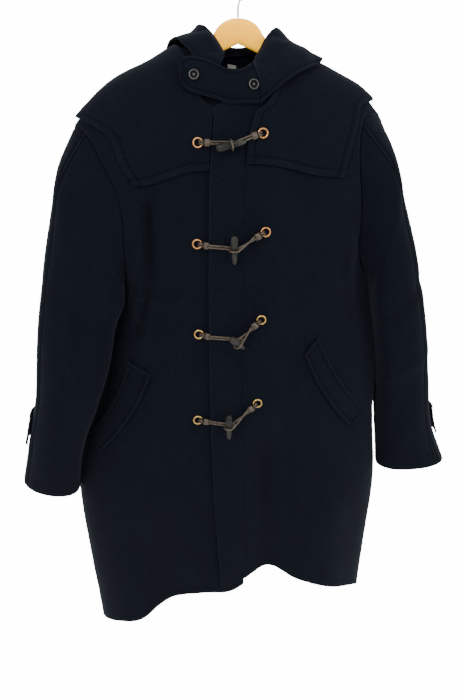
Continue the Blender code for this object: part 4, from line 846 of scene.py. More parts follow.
# ---------------------------------------------------------------- sizes of the trims
BUTTON_PROFILE = (       # distance from the axis and height
    (0.0000, 0.0028), (0.0052, 0.0028), (0.0064, 0.0040), (0.0076, 0.0036), (0.0081, 0.0018), (0.0068, 0.0),
    (0.0000, 0.0),
)
BUTTON_LAY = 0.0010
EYELET_RADIUS = 0.0071
EYELET_WIRE = 0.0016
TOGGLE_PROFILE = (       # share of the length and radius
    (0.00, 0.0), (0.02, 0.0038), (0.12, 0.0060), (0.32, 0.0062), (0.48, 0.0048), (0.56, 0.0046),
    (0.70, 0.0047), (0.88, 0.0036), (0.98, 0.0019), (1.00, 0.0),
)
THONG = 0.0016           # radius of one leather strand
STRANDS_APART = 0.0038   # between the middles of a pair
WRAP_LENGTH = 0.009
WRAP_PROFILE = ((0.0022, 0.0), (0.0029, 0.0), (0.0029, WRAP_LENGTH), (0.0022, WRAP_LENGTH))
WRAP_WIDE = 2.0
WAIST_TURNS = (-90, -125, 180, 125, 90, 45)      # round the waist, from an eyelet beside it
WAIST_TURNS_ALONG = (-115, -145, 180, 135, 90, 45, 0, -35, -65)      # from an eyelet in line with it
YOKE_LEFT_CLEAR = 0.004  # where the left yoke flap starts, for what lies over the overlap
TOGGLE_OUT = 0.0154      # the toggle's axis over the cloth

# a row for each closing, from the top: the eyelets of the loop and of the toggle, the toggle's
# thick and thin ends with their heights over the cloth, and whether the eyelets lie on the yoke
CLOSINGS = table(
    "loop_x loop_z eyelet_x eyelet_z thick_x thick_z thin_x thin_z rise on_yoke",
    (-0.0735, -0.2440, 0.0280, -0.2315, -0.0462, -0.2540, 0.0005, -0.2440, 0.0, 1),
    (-0.0782, -0.4017, 0.0325, -0.3837, -0.0193, -0.3860, -0.0195, -0.4330, 0.0, 0),
    (-0.0780, -0.5567, 0.0267, -0.5325, -0.0270, -0.5530, -0.0030, -0.5790, 0.018, 0),
    (-0.0825, -0.7157, 0.0216, -0.6857, -0.0297, -0.6990, -0.0298, -0.7470, 0.0, 0),
)
TOGGLE_WAIST = 0.52      # the waist's place along the toggle
# a strand's way out of its eyelet: distance from the eyelet's middle and height over the cloth
HOLE_WAY = ((0.0022, 0.0008), (0.0024, 0.0040), (0.0052, 0.0064), (0.0086, 0.0062))
WRAP_START = 0.0100
WRAP_HEIGHT = 0.0058
LOOP_LOW = 0.0028        # height of the loop's strands behind the toggle
LOOP_PAST = 0.0115       # how far the loop reaches past the toggle
LOOP_STRAIGHT = 0.016    # how far before the toggle the loop's strands lie side by side
WAIST_REACH = 0.0080     # from the toggle's axis to the strand round its waist
THIN_DROP = 0.15         # how far the thin end sinks for each metre that the thick end rises
WRAP_LEAD = 0.2          # how far past a wrap its strands run straight, as a share of its length
TAB_BUTTONS = (("left", 0.955, 0.50), ("right", 0.312, 0.49))
LABEL_WIDTH = 0.0145
LABEL_THICK = 0.0008
LABEL_X = -0.0050
LABEL_V = 1.640          # ring of its lower edge on the back
LABEL_RINGS = 0.021      # its height, in rings
# a row for each section of the hanger's arm from its middle: top, underside and half its thickness
HANGER_ARM = table(
    "x top under half",
    (0.000, -0.0620, -0.1010, 0.0068),
    (0.012, -0.0635, -0.1063, 0.0068),
    (0.024, -0.0685, -0.1117, 0.0068),
    (0.034, -0.0770, -0.1165, 0.0068),
    (0.041, -0.0885, -0.1210, 0.0068),
    (0.052, -0.1005, -0.1290, 0.0068),
    (0.068, -0.1150, -0.1390, 0.0068),
    (0.100, -0.1305, -0.1520, 0.0070),
    (0.140, -0.1505, -0.1730, 0.0075),
    (0.180, -0.1720, -0.1920, 0.0080),
    (0.196, -0.1830, -0.1950, 0.0060),
)
HOOK_WIRE = 0.00175
HOOK_INSIDE = 0.017
HOOK_STEM = 0.6          # how far up its straight part the hook starts to bend
HOOK_START = -82         # degrees from the level right side, over the top
HOOK_END = 205


def label_place(s, t):
    """The blank label on the inside of the back, under the neck."""
    x = LABEL_X + LABEL_WIDTH * (0.5 - s)
    v = mix(LABEL_V, LABEL_V + LABEL_RINGS, t)
    point, normal = body_frame(angle_at(x, v, front=False), v)
    return point - normal * (CLOTH + LOOSE), normal


# ---------------------------------------------------------------- settings that a user can change
class CoatCloth(bpy.types.PropertyGroup):
    """Sizes and colours of the wool cloth."""
    colour: bpy.props.FloatVectorProperty(
        name="Colour", description="Colour of the wool", subtype="COLOR", size=3,
        default=(0.0010, 0.0015, 0.0034), min=0, max=1)
    light_fibre: bpy.props.FloatVectorProperty(
        name="Fibre colour", description="Colour of the fibres that catch the light", subtype="COLOR", size=3,
        default=(0.0036, 0.0050, 0.0092), min=0, max=1)
    spacing: bpy.props.FloatProperty(
        name="Mesh spacing", description="Distance between the points of the cloth's mesh",
        default=0.0052, min=0.002, max=0.02, unit="LENGTH")
    groove: bpy.props.FloatProperty(
        name="Stitch groove", description="How deep a row of stitches is drawn into the cloth",
        default=0.0010, min=0, max=0.003, unit="LENGTH")
    puff: bpy.props.FloatProperty(
        name="Edge puff", description="How far the cloth rises between its edge and the stitches",
        default=0.0009, min=0, max=0.003, unit="LENGTH")
    stitch: bpy.props.FloatProperty(
        name="Stitch length", description="Length from one stitch to the next",
        default=0.0036, min=0.002, max=0.01, unit="LENGTH")


class CoatTrims(bpy.types.PropertyGroup):
    """Colours of the trims and the hanger."""
    leather: bpy.props.FloatVectorProperty(
        name="Leather", description="Colour of the thongs", subtype="COLOR", size=3,
        default=(0.014, 0.009, 0.006), min=0, max=1)
    horn: bpy.props.FloatVectorProperty(
        name="Toggles", description="Colour of the toggles", subtype="COLOR", size=3,
        default=(0.006, 0.006, 0.0055), min=0, max=1)
    brass: bpy.props.FloatVectorProperty(
        name="Eyelets", description="Colour of the eyelets", subtype="COLOR", size=3,
        default=(0.56, 0.30, 0.12), min=0, max=1)
    wood: bpy.props.FloatVectorProperty(
        name="Wood", description="Colour of the hanger's wood", subtype="COLOR", size=3,
        default=(1.0, 0.50, 0.008), min=0, max=1)


class CoatStudio(bpy.types.PropertyGroup):
    """Camera and light."""
    focal: bpy.props.FloatProperty(
        name="Focal length", description="The camera's focal length, in millimetres on a 36 mm long side",
        default=42.27, min=10, max=200)
    key: bpy.props.FloatProperty(
        name="Main light", description="Power of the main light", default=60, min=0, max=1000, unit="POWER")
    fill: bpy.props.FloatProperty(
        name="Fill light", description="Power of the fill light", default=25, min=0, max=1000, unit="POWER")
    neck: bpy.props.FloatProperty(
        name="Neck light", description="Power of the light that falls into the neck",
        default=20, min=0, max=1000, unit="POWER")
    surroundings: bpy.props.FloatProperty(
        name="Surroundings", description="Strength of the light from all round", default=1.7, min=0, max=5)


# ---------------------------------------------------------------- fine cloth from coarse samples
EDGE_STEPS = (0.0, 0.0003, 0.0008, 0.0015, 0.0026, 0.0042)
GROOVE_STEPS = (-0.0034, -0.0017, 0.0, 0.0017, 0.0034)
LARGEST_SQUEEZE = 0.9    # the most of a short row that the steps at its ends take up
LARGEST_WAY = 1.3        # the most that a curve's way at a sample is, as a share of the step beside it
ROLL = 0.0013            # radius of a free edge
ROLL_SHARE = 0.46        # how far each face of the wall turns in at a free edge, as a share of its thickness
ROLL_STEEP = 0.98        # how steeply it does so; at 1 the rim would be a full round
EDGE_WEAR_AND_SHEEN = 0.0022       # how far in a free edge is lighter: partly rubbed wear, partly painted sheen
RISE_REACH = 0.011       # how far in an edge's own rise goes
SEAM_DIP = 0.0013        # how deep a seam lies between two pieces
SEAM_REACH = 0.0022
SEAM_OVER = 0.0004       # how far two sewn pieces run into each other, so that no light passes
SEAM_SWELL = (0.0005, 0.0055, 0.0026)    # height, distance and width of the swelling beside a seam
SEAM_PAINTED_SHADE = (0.5, 0.0014)            # strength and width of a seam's dark line: painted shade in the seam's dip
GROOVE_HALF = 0.0016
# strength and width of the painted shade along a line of stitches
STITCH_PAINTED_SHADE = (0.75, GROOVE_HALF * 0.9)
STITCH_SINK = 0.0002     # how far a line of stitches may run past the line that it meets
PUFF_HIGHLIGHT = 0.35         # how much lighter the puff's top is made: a painted highlight on the raised band
FACING_INSET = 0.03      # stitches this far in hold a facing, and press the cloth less
FACING_PRESS = 0.3
EDGE_STOP = 0.002        # from an edge without stitches to the end of a line of them
PUCKER = (0.012, 0.00045, 0.006)     # size, height and reach of the puckers along stitches
PUCKER_PLACE = 0.9       # where they are, as a share of the way from the edge to the stitches
CREASE_SHADE_DEPTH = 0.014      # depth of a trough whose painted shade is as dark as a groove's
# the darkest painted shade that a trough gets
CREASE_SHADE_MOST = 0.6
BROAD_LUMPS = (0.075, 0.0011)        # size and height of the cloth's unevenness
SMALL_LUMPS = (0.021, 0.00035)
FELT_LUMPS = (0.006, 0.00012)

Edging = namedtuple("Edging", "kind stitches rise", defaults=((), 0.0))
FREE = Edging("free")
SEAM = Edging("seam")
HIDDEN = Edging("hidden")

# soft ridges and troughs of the pieces whose names start so: from one end to the other
CREASES = table(
    "piece x0 z0 x1 z1 width depth",
    ("front_right", -0.154, -0.335, -0.156, -0.470, 0.008, -0.0075),
    ("front_right", -0.156, -0.470, -0.186, -0.570, 0.008, -0.0075),
    ("front_right", -0.172, -0.335, -0.172, -0.470, 0.009, 0.0050),
    ("front_right", -0.172, -0.470, -0.200, -0.560, 0.009, 0.0050),
    ("front_left", 0.010, -0.330, 0.024, -0.560, 0.016, -0.0018),
    ("front_left", 0.030, -0.760, 0.050, -1.080, 0.020, -0.0030),
    ("front_left", -0.020, -0.800, -0.030, -1.080, 0.016, 0.0022),
    ("front_left", 0.170, -0.420, 0.185, -0.560, 0.012, -0.0030),
    ("front_right", -0.140, -0.900, -0.170, -1.170, 0.022, -0.0030),
    ("sleeve_right", -0.330, -0.470, -0.250, -0.560, 0.014, -0.0018),
    ("sleeve_right", -0.345, -0.560, -0.260, -0.640, 0.014, 0.0016),
    ("sleeve_left", 0.330, -0.480, 0.240, -0.570, 0.012, -0.0030),
    ("sleeve_left", 0.345, -0.620, 0.250, -0.680, 0.012, 0.0026),
)


def between(samples, where):
    """Samples read at fractional places along their first axis, on a smooth curve."""
    first, last = 2 * samples[:1] - samples[1:2], 2 * samples[-1:] - samples[-2:-1]
    ghost = np.concatenate((first, samples, last))
    low = np.clip(where.astype(int), 0, len(samples) - 2)
    t = (where - low)[:, None]
    a, b, c, d = (ghost[low + k] for k in range(4))
    chord = np.linalg.norm((c - b)[:, :3], axis=1, keepdims=True)
    start, end = (c - a) / 2, (d - b) / 2
    for way in (start, end):
        size = np.linalg.norm(way[:, :3], axis=1, keepdims=True)
        way *= np.minimum(1.0, LARGEST_WAY * chord / np.maximum(size, 1e-9))
    rise = t * t * (3 - 2 * t)
    return b + (c - b) * rise + start * (t - 1) ** 2 * t + end * (t - 1) * t * t


def edge_steps(edge):
    """Distances from an edge at which the mesh has lines, so that the edge and its stitches are crisp."""
    around = [inset + step for inset in edge.stitches for step in GROOVE_STEPS]
    return np.array(sorted(list(EDGE_STEPS) + around))


def run_along(points, axis):
    """The length of cloth from the grid's start to each point, along an axis."""
    chords = np.linalg.norm(np.diff(points, axis=axis), axis=2)
    return np.concatenate((np.zeros_like(chords.take([0], axis)), np.cumsum(chords, axis=axis)), axis=axis)


def respace(grid, low, high, spacing):
    """Every row of the grid read again: lines near both ends at set distances, and even ones between."""
    lengths = run_along(grid[:, :, :3], 1)
    middle = max(int(lengths[:, -1].max() / spacing), 3)
    rows = []
    for row, length in zip(grid, lengths):
        total = length[-1]
        squeeze = min(1.0, LARGEST_SQUEEZE * total / (low[-1] + high[-1]))
        start, end = low * squeeze, total - high[::-1] * squeeze
        inner = np.linspace(start[-1], end[0], middle + 2)[1:-1]
        want = np.concatenate((start, inner, end))
        rows.append(between(row, np.interp(want, length, np.arange(len(row)))))
    return np.array(rows)


def fine_grid(place, samples, edges, spacing):
    """A piece's points and its wall's directions, finer than the samples, with seams run together."""
    columns, rows = samples
    coarse = np.empty((rows + 1, columns + 1, 6))
    for j, i in np.ndindex(rows + 1, columns + 1):
        point, wall = place(i / columns, j / rows)
        coarse[j, i] = (*point, *wall)
    left, right, low, high = (edge_steps(edge) for edge in edges)
    grid = respace(coarse, left, right, spacing)
    grid = respace(grid.swapaxes(0, 1), low, high, spacing).swapaxes(0, 1)
    points, wall = grid[:, :, :3], grid[:, :, 3:]
    rims = ((points[:, 0], points[:, 1]), (points[:, -1], points[:, -2]),
            (points[0], points[1]), (points[-1], points[-2]))
    for edge, (rim, inside) in zip(edges, rims):
        if edge.kind == "seam":
            away = rim - inside
            rim += away / np.linalg.norm(away, axis=1, keepdims=True) * SEAM_OVER
    return points, wall / np.linalg.norm(wall, axis=2, keepdims=True)


def normals_of(points):
    wide, tall = np.gradient(points, axis=1), np.gradient(points, axis=0)
    normal = np.cross(wide, tall)
    return normal / np.maximum(np.linalg.norm(normal, axis=2, keepdims=True), 1e-12)


def noise_field(points, size, seed):
    """Soft random values over the points, from about -1 to 1."""
    shift = Vector((seed * 3.7, seed * 1.3, seed * 5.1))
    flat = [noise.noise(Vector(point) / size + shift) for point in points.reshape(-1, 3)]
    return np.array(flat).reshape(points.shape[:2])


def bell(value, width):
    return np.exp(-(value / width) ** 2)


def step_up(low, high, value):
    t = np.clip((value - low) / (high - low), 0.0, 1.0)
    return t * t * (3 - 2 * t)


def crease_relief(name, points):
    """The ridges and troughs of the table CREASES that a piece has."""
    relief = np.zeros(points.shape[:2])
    for crease in CREASES:
        if not name.startswith(crease.piece):
            continue
        start = np.array((crease.x0, crease.z0))
        way = np.array((crease.x1, crease.z1)) - start
        length = np.linalg.norm(way)
        way = way / length
        flat = points[:, :, (0, 2)] - start
        along, off = flat @ way, flat @ np.array((-way[1], way[0]))
        ends = [step_up(-crease.width, crease.width * 2, reach) for reach in (along, length - along)]
        relief += crease.depth * bell(off, crease.width) * ends[0] * ends[1]
    return relief


def edge_relief(edges, reaches, thickness, pucker):
    """How edges, seams and stitches roll, lift and press the cloth at each point, where it is lighter (rubbed
    wear and painted sheen at free edges, painted highlight on puffs) and where painted shade darkens it
    (seams, stitch grooves).
    """
    look = bpy.context.scene.coat_cloth
    roll, wear, dark, rise, fine = (np.zeros_like(pucker) for _ in range(5))
    for edge, off in zip(edges, reaches):
        if edge.kind == "free":
            rest = np.clip(1 - off / ROLL, 0.0, 1.0)
            roll = np.maximum(roll, thickness * ROLL_SHARE * (1 - np.sqrt(1 - rest ** 2 * ROLL_STEEP)))
            # a free edge is made lighter: partly rubbed wear, partly painted sheen
            wear = np.maximum(wear, bell(off, EDGE_WEAR_AND_SHEEN))
            rise += edge.rise * bell(off, RISE_REACH)
        elif edge.kind == "seam":
            height, beside, width = SEAM_SWELL
            fine += height * bell(off - beside, width) - SEAM_DIP * bell(off, SEAM_REACH)
            # painted shade along the seam's dip
            dark = np.maximum(dark, SEAM_PAINTED_SHADE[0] * bell(off, SEAM_PAINTED_SHADE[1]))
        for inset in edge.stitches:
            press = FACING_PRESS
            if inset < FACING_INSET:
                press = 1.0
                share = np.clip(off / inset, 0.0, 1.0)
                dome = 4 * share * (1 - share)
                fine += look.puff * dome
                # painted highlight on the puff's raised top
                wear = np.maximum(wear, PUFF_HIGHLIGHT * dome)
            fine -= press * look.groove * bell(off - inset, GROOVE_HALF)
            fine += PUCKER[1] * pucker * bell(off - inset * PUCKER_PLACE, PUCKER[2])
            dark = np.maximum(dark, STITCH_PAINTED_SHADE[0] * press * bell(off - inset, STITCH_PAINTED_SHADE[1]))
    return roll, wear, dark, rise, fine


def stitch_lines(edges, reaches, outer, normal):
    """Lines of stitches: points, normals, and which of them lie between the lines that they meet."""
    stops = []
    for edge in edges:
        near = [inset for inset in edge.stitches if inset < FACING_INSET]
        stops.append(min(near, default=EDGE_STOP) - STITCH_SINK)
    lines = []
    for axis, own, met in ((1, (0, 1), (2, 3)), (0, (2, 3), (0, 1))):
        for which in own:
            for inset in edges[which].stitches:
                at = int(np.argmin(np.abs(reaches[which] - inset).mean(axis=1 - axis)))
                keep = [reaches[k].take(at, axis) >= stops[k] for k in met]
                lines.append((outer.take(at, axis), normal.take(at, axis), keep[0] & keep[1]))
    return lines


def shell(name, place, samples, edges, thickness=CLOTH, spacing=None, seed=0, lumps=1.0):
    """A piece of cloth over place(s, t), and the lines of stitches on it."""
    points, wall = fine_grid(place, samples, edges, spacing or bpy.context.scene.coat_cloth.spacing)
    normal = normals_of(points)
    facing = 1.0 if (normal * wall).sum() > 0 else -1.0
    normal = normal * facing
    across, up = run_along(points, 1), run_along(points, 0)
    reaches = (across, across[:, -1:] - across, up, up[-1:] - up)
    broad, small, felt, pucker = (
        noise_field(points, size, seed + k)
        for k, size in enumerate((BROAD_LUMPS[0], SMALL_LUMPS[0], FELT_LUMPS[0], PUCKER[0])))
    roll, wear, dark, rise, fine = edge_relief(edges, reaches, thickness, pucker)
    creased = crease_relief(name, points)
    # painted shade in the troughs of the creases
    dark = np.maximum(dark, np.clip(-creased / CREASE_SHADE_DEPTH, 0.0, CREASE_SHADE_MOST))
    soft = creased + rise + lumps * (BROAD_LUMPS[1] * broad + SMALL_LUMPS[1] * small)
    fine += lumps * FELT_LUMPS[1] * felt
    outer = points + normal * (soft + fine)[..., None] - wall * roll[..., None]
    inner = points + normal * soft[..., None] - wall * (thickness - roll)[..., None]
    # the lighter field holds rubbed edge wear, painted sheen and painted highlight; the groove field holds
    # painted shade
    mesh = slab(name, outer, inner, facing, {"wear": wear, "groove": dark}, np.stack((across, up), axis=2))
    return placed(name + "_cloth", mesh), stitch_lines(edges, reaches, outer, normal)


def slab(name, outer, inner, facing, fields, spread):
    """A closed wall between two grids of points, with values at its points and a map over the cloth."""
    rows, columns = outer.shape[0] - 1, outer.shape[1] - 1
    bm = bmesh.new()
    bmesh.ops.create_grid(bm, x_segments=columns, y_segments=rows, size=0.5)
    copy = bmesh.ops.extrude_face_region(bm, geom=bm.faces[:], use_keep_orig=True)["geom"]
    bmesh.ops.translate(bm, verts=[v for v in copy if isinstance(v, bmesh.types.BMVert)], vec=(0, 0, -1))
    bmesh.ops.recalc_face_normals(bm, faces=bm.faces[:])
    if facing < 0:
        bmesh.ops.reverse_faces(bm, faces=bm.faces[:])
    mesh = mesh_of(name, bm)
    flat = np.empty(len(mesh.vertices) * 3, np.float32)
    mesh.vertices.foreach_get("co", flat)
    x, y, z = flat.reshape(-1, 3).T
    i = np.rint((x + 0.5) * columns).astype(int)
    j = np.rint((y + 0.5) * rows).astype(int)
    where = np.where((z < -0.5)[:, None], inner[j, i], outer[j, i])
    mesh.vertices.foreach_set("co", where.astype(np.float32).ravel())
    for label, field in fields.items():
        mesh.attributes.new(label, "FLOAT", "POINT").data.foreach_set("value", field[j, i].astype(np.float32))
    corner = np.empty(len(mesh.loops), np.int32)
    mesh.loops.foreach_get("vertex_index", corner)
    pairs = spread[j, i][corner].astype(np.float32)
    mesh.uv_layers.new(name="cloth").data.foreach_set("uv", pairs.ravel())
    mesh.update()
    return mesh


def mesh_of(name, bm):
    """A smooth-shaded mesh from one that is being built."""
    mesh = bpy.data.meshes.new(name)
    bm.to_mesh(mesh)
    bm.free()
    mesh.shade_smooth()
    return mesh


def placed(name, data):
    """An object of the coat, in the shared frame."""
    thing = bpy.data.objects.new(name, data)
    bpy.context.scene.collection.objects.link(thing)
    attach(thing, "root")
    return thing


def finished(name, bm, material):
    """An object from a mesh that is being built."""
    mesh = mesh_of(name, bm)
    mesh.materials.append(material)
    return placed(name, mesh)


THREAD_SHARE = 0.40      # half a stitch's length, as a share of the way to the next
THREAD_HALF = (0.00036, 0.00030)     # half its width and height
THREAD_UP = 0.00015
THREAD_WAY = 0.001


def stitches(name, lines, material):
    """Short threads along lines of (points, normals, which points count)."""
    pitch = bpy.context.scene.coat_cloth.stitch
    size = Matrix.Diagonal((pitch * THREAD_SHARE, *THREAD_HALF, 1))
    bm = bmesh.new()
    for points, normal, keep in lines:
        points, normal = points[keep], normal[keep]
        if len(points) < 3:
            continue
        run = np.concatenate(([0.0], np.cumsum(np.linalg.norm(np.diff(points, axis=0), axis=1))))

        def read(values, at):
            return Vector([np.interp(at, run, values[:, axis]) for axis in range(3)])

        for k in range(int(run[-1] / pitch)):
            at = (k + 0.5) * pitch
            spot, up = read(points, at), read(normal, at)
            stand = frame_at(spot + up * THREAD_UP, up, read(points, at + THREAD_WAY) - spot)
            bmesh.ops.create_icosphere(bm, subdivisions=1, radius=1.0, matrix=stand @ size)
    return finished(name, bm, material)


# how each piece is cut: width, length and area, how it is held and on what it rests; None is the
# whole rectangle
CUTS = {row.piece: row for row in table(
    "piece width length area held rests_on",
    ("front_left", 0.36, 1.08, 0.33, "hung", ("hanger_wood",)),
    ("front_right", 0.36, 1.08, 0.31, "hung", ("hanger_wood",)),
    ("back", 0.62, 1.10, 0.58, "hung", ("hanger_wood",)),
    ("sleeve_left_front", 0.19, 0.66, 0.077, "hung", ("front_left",)),
    ("sleeve_right_front", 0.19, 0.66, 0.096, "hung", ("front_right",)),
    ("sleeve_left_back", 0.30, 0.68, 0.141, "hung", ("back",)),
    ("sleeve_right_back", 0.30, 0.68, 0.141, "hung", ("back",)),
    ("cuff_strap_left", 0.14, 0.062, 0.0078, "laid", ("sleeve_left_back",)),
    ("cuff_strap_right", 0.14, 0.062, 0.0078, "laid", ("sleeve_right_back",)),
    ("yoke_front_left", 0.22, 0.24, 0.0355, "laid", ("front_left",)),
    ("yoke_front_right", 0.22, 0.24, 0.0355, "laid", ("front_right",)),
    ("yoke_back", 0.48, 0.23, 0.081, "laid", ("back",)),
    ("throat_tab", 0.15, 0.06, 0.0070, "laid", ("front_left", "front_right")),
    ("hood_left", 0.28, 0.38, 0.081, "folded", ("yoke_back",)),
    ("hood_right", 0.28, 0.38, 0.071, "folded", ("yoke_back",)),
    ("neck_label", 0.0145, 0.0105, 0.00011, "laid", ("back",)),
    ("pocket_welt_left", 0.18, 0.046, None, "laid", ("front_left",)),
    ("pocket_welt_right", 0.18, 0.046, None, "laid", ("front_right",)),
)}
SMALL = {"spacing": 0.0032, "lumps": 0.5}    # mesh and unevenness of a small piece


def sew(name, place, samples, edges, slot="melton", look=None, **making):
    """One cut-and-sewn piece of cloth with its stitches, standing for its CAD node."""
    thing, lines = shell(name, place, samples, edges, **making)
    thing.data.materials.append(look or melton())
    stands_for(thing, name)
    if lines:
        thread = stitches(name + "_stitches", lines, finish("sewing thread"))
    cut = CUTS[name]
    list(cut.rests_on)


def stands_for(thing, node_name):
    """Hides the CAD node that a piece is shown in place of."""
    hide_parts(node_name)


# ---------------------------------------------------------------- materials
def new_material(name):
    """A named material, its tree and its shader."""
    material = bpy.data.materials.new(name)
    material.use_nodes = True
    tree = material.node_tree
    return material, tree, tree.nodes["Principled BSDF"]


def plug(tree, owner, values):
    """Gives a node's inputs, by name or number, a value or another node's output."""
    for key, value in values.items():
        if isinstance(value, bpy.types.NodeSocket):
            tree.links.new(value, owner.inputs[key])
        else:
            owner.inputs[key].default_value = value


def node(tree, kind, values=None, **settings):
    """A new node with its settings and inputs."""
    made = tree.nodes.new(kind)
    for key, value in settings.items():
        setattr(made, key, value)
    plug(tree, made, values or {})
    return made


def noise_over(tree, place, scale, detail, roughness):
    values = {"Vector": place, "Scale": scale, "Detail": detail, "Roughness": roughness}
    return node(tree, "ShaderNodeTexNoise", values).outputs["Fac"]


def ranged(tree, value, low, high, to_low=0.0, to_high=1.0):
    """A value from low to high, moved to another range."""
    values = {"Value": value, "From Min": low, "From Max": high, "To Min": to_low, "To Max": to_high}
    return node(tree, "ShaderNodeMapRange", values).outputs["Result"]


def scaled_sum(tree, value, scale, added, clamp=False):
    values = {0: value, 1: scale, 2: added}
    return node(tree, "ShaderNodeMath", values, operation="MULTIPLY_ADD", use_clamp=clamp).outputs[0]


def product(tree, first, second):
    return node(tree, "ShaderNodeMath", {0: first, 1: second}, operation="MULTIPLY").outputs[0]


def blended(tree, share, first, second, how="MIX"):
    """Two colours blended."""
    values = {0: share, 6: first, 7: second}
    return node(tree, "ShaderNodeMix", values, data_type="RGBA", blend_type=how).outputs[2]


def bumped(tree, height, strength, distance):
    values = {"Height": height, "Strength": strength, "Distance": distance}
    return node(tree, "ShaderNodeBump", values).outputs["Normal"]


# the lighter input carries rubbed edge wear, painted sheen and painted highlight; the Groove input carries
# painted shade
FIBRE_SOCKETS = (
    ("Place", "INPUT", "Vector"), ("Ground", "INPUT", "Color"), ("Fibre", "INPUT", "Color"),
    ("Wear", "INPUT", "Float"), ("Groove", "INPUT", "Float"),
    ("Color", "OUTPUT", "Color"), ("Roughness", "OUTPUT", "Float"), ("Height", "OUTPUT", "Float"),
)
FIBRE_LIE = (1.0, 0.55, 1.0)         # the fibres are brushed downwards
HAIRS = (1500.0, 3.0, 0.65)          # scale, detail and roughness of the single hairs
FELTING = (330.0, 4.0, 0.6)          # the same of the felted tufts
PATCHES = (26.0, 3.0, 0.55)          # and of the paler and darker patches
HAIR_SHARE = 0.55
# how much rubbed wear, painted sheen and painted highlight lighten the fibres
WEAR_AND_HIGHLIGHT_SHARE = 0.45
FIBRE_RANGE = (0.60, 1.02)           # heights of the darkest and the lightest fibres
PATCH_RANGE = (0.30, 0.70, 0.55)     # values of the darkest and lightest patches, and the darkest's shade
ROUGH_RANGE = (0.0, 1.5, 0.82, 1.0)  # heights of the fibres and the roughness there
FIBRE_BUMP = (0.55, 0.0006)          # strength and depth
# the colour by which painted shade in grooves, seams and creases multiplies the cloth
GROOVE_PAINTED_SHADE = (0.35, 0.35, 0.38, 1)


def fibre_group():
    """Short brushed fibres: a colour, a roughness and a height from a place on the cloth. The colour is
    lightened by rubbed wear, painted sheen and painted highlight, and darkened by painted shade.
    """
    name = "brushed fibres"
    if name in bpy.data.node_groups:
        return bpy.data.node_groups[name]
    tree = bpy.data.node_groups.new(name, "ShaderNodeTree")
    for label, way, kind in FIBRE_SOCKETS:
        tree.interface.new_socket(name=label, in_out=way, socket_type="NodeSocket" + kind)
    enter = tree.nodes.new("NodeGroupInput").outputs
    place = node(tree, "ShaderNodeMapping", {"Vector": enter["Place"], "Scale": FIBRE_LIE}).outputs["Vector"]
    hair, felt, patch = (noise_over(tree, place, *field) for field in (HAIRS, FELTING, PATCHES))
    height = scaled_sum(tree, hair, HAIR_SHARE, felt)
    mottled = product(tree, ranged(tree, height, *FIBRE_RANGE), ranged(tree, patch, *PATCH_RANGE))
    # random mottle, plus rubbed wear, painted sheen and painted highlight
    wear_and_highlight_mix = scaled_sum(tree, enter["Wear"], WEAR_AND_HIGHLIGHT_SHARE, mottled, clamp=True)
    colour = blended(tree, wear_and_highlight_mix, enter["Ground"], enter["Fibre"])
    # painted shade in grooves, seams and creases
    shaded = blended(tree, enter["Groove"], colour, GROOVE_PAINTED_SHADE, "MULTIPLY")
    rough = ranged(tree, height, *ROUGH_RANGE)
    node(tree, "NodeGroupOutput", {"Color": shaded, "Roughness": rough, "Height": height})
    return tree


def melton():
    """The navy wool, made once."""
    if "navy melton" in bpy.data.materials:
        return bpy.data.materials["navy melton"]
    look = bpy.context.scene.coat_cloth
    material, tree, shader = new_material("navy melton")
    values = {"Place": node(tree, "ShaderNodeUVMap", uv_map="cloth").outputs["UV"],
              "Ground": (*look.colour, 1), "Fibre": (*look.light_fibre, 1)}
    # the lighter field (rubbed wear, painted sheen and painted highlight) and the painted shade field
    for label in ("wear", "groove"):
        values[label.title()] = node(tree, "ShaderNodeAttribute", attribute_name=label).outputs["Fac"]
    fibres = node(tree, "ShaderNodeGroup", values, node_tree=fibre_group()).outputs
    plug(tree, shader, {
        "Base Color": fibres["Color"], "Roughness": fibres["Roughness"],
        "Normal": bumped(tree, fibres["Height"], *FIBRE_BUMP)})
    shader.inputs["Sheen Weight"].default_value = 0.035
    shader.inputs["Sheen Roughness"].default_value = 0.45
    shader.inputs["Sheen Tint"].default_value = (0.55, 0.66, 0.90, 1)
    shader.inputs["Specular IOR Level"].default_value = 0.06
    return material


# the plain finishes: colour or the name of its setting, the grain's second colour or its share of
# the first, roughness and the grain's scale; then the grain's depth, specular, metallic, the grain's
# stretch and a tint of the colour
Finish = namedtuple("Finish", "colour second roughness scale depth specular metallic stretch tint",
                    defaults=(0.0003, 0.5, 0.0, (1, 1, 1), (1, 1, 1)))
FINISHES = {
    "sewing thread": Finish((0.0011, 0.0016, 0.0034), 0.6, 0.8, 3000, specular=0.08),
    "brown leather": Finish("leather", (0.068, 0.048, 0.031), 0.28, 420, specular=0.34),
    "dark horn": Finish("horn", (0.030, 0.029, 0.024), 0.32, 38, depth=0.0001, specular=0.16),
    "copper": Finish("brass", (0.26, 0.10, 0.035), 0.26, 420, depth=0.0001, metallic=1.0),
    "old brass": Finish("brass", (0.22, 0.12, 0.035), 0.26, 420, depth=0.0001, metallic=1.0,
                        tint=(1, 1.25, 1)),
    "dark button": Finish((0.0020, 0.0020, 0.0026), 0.5, 0.3, 500, depth=0.00005, specular=0.06),
    # the raised rim's lighter finish is a painted highlight
    "button rim": Finish((0.045, 0.044, 0.041), 0.4, 0.25, 700, depth=0.00005, specular=0.4),
    "button thread": Finish((0.11, 0.11, 0.11), 0.6, 0.7, 2500, specular=0.2),
    "honey wood": Finish("wood", (0.96, 0.40, 0.005), 0.4, 90, depth=0.00015, specular=0.05,
                         stretch=(0.12, 1, 1)),
    "bright steel": Finish((0.55, 0.55, 0.56), 0.9, 0.2, 600, depth=0.00003, metallic=1.0),
    "woven label": Finish((0.33, 0.32, 0.29), 0.75, 0.7, 1500),
}
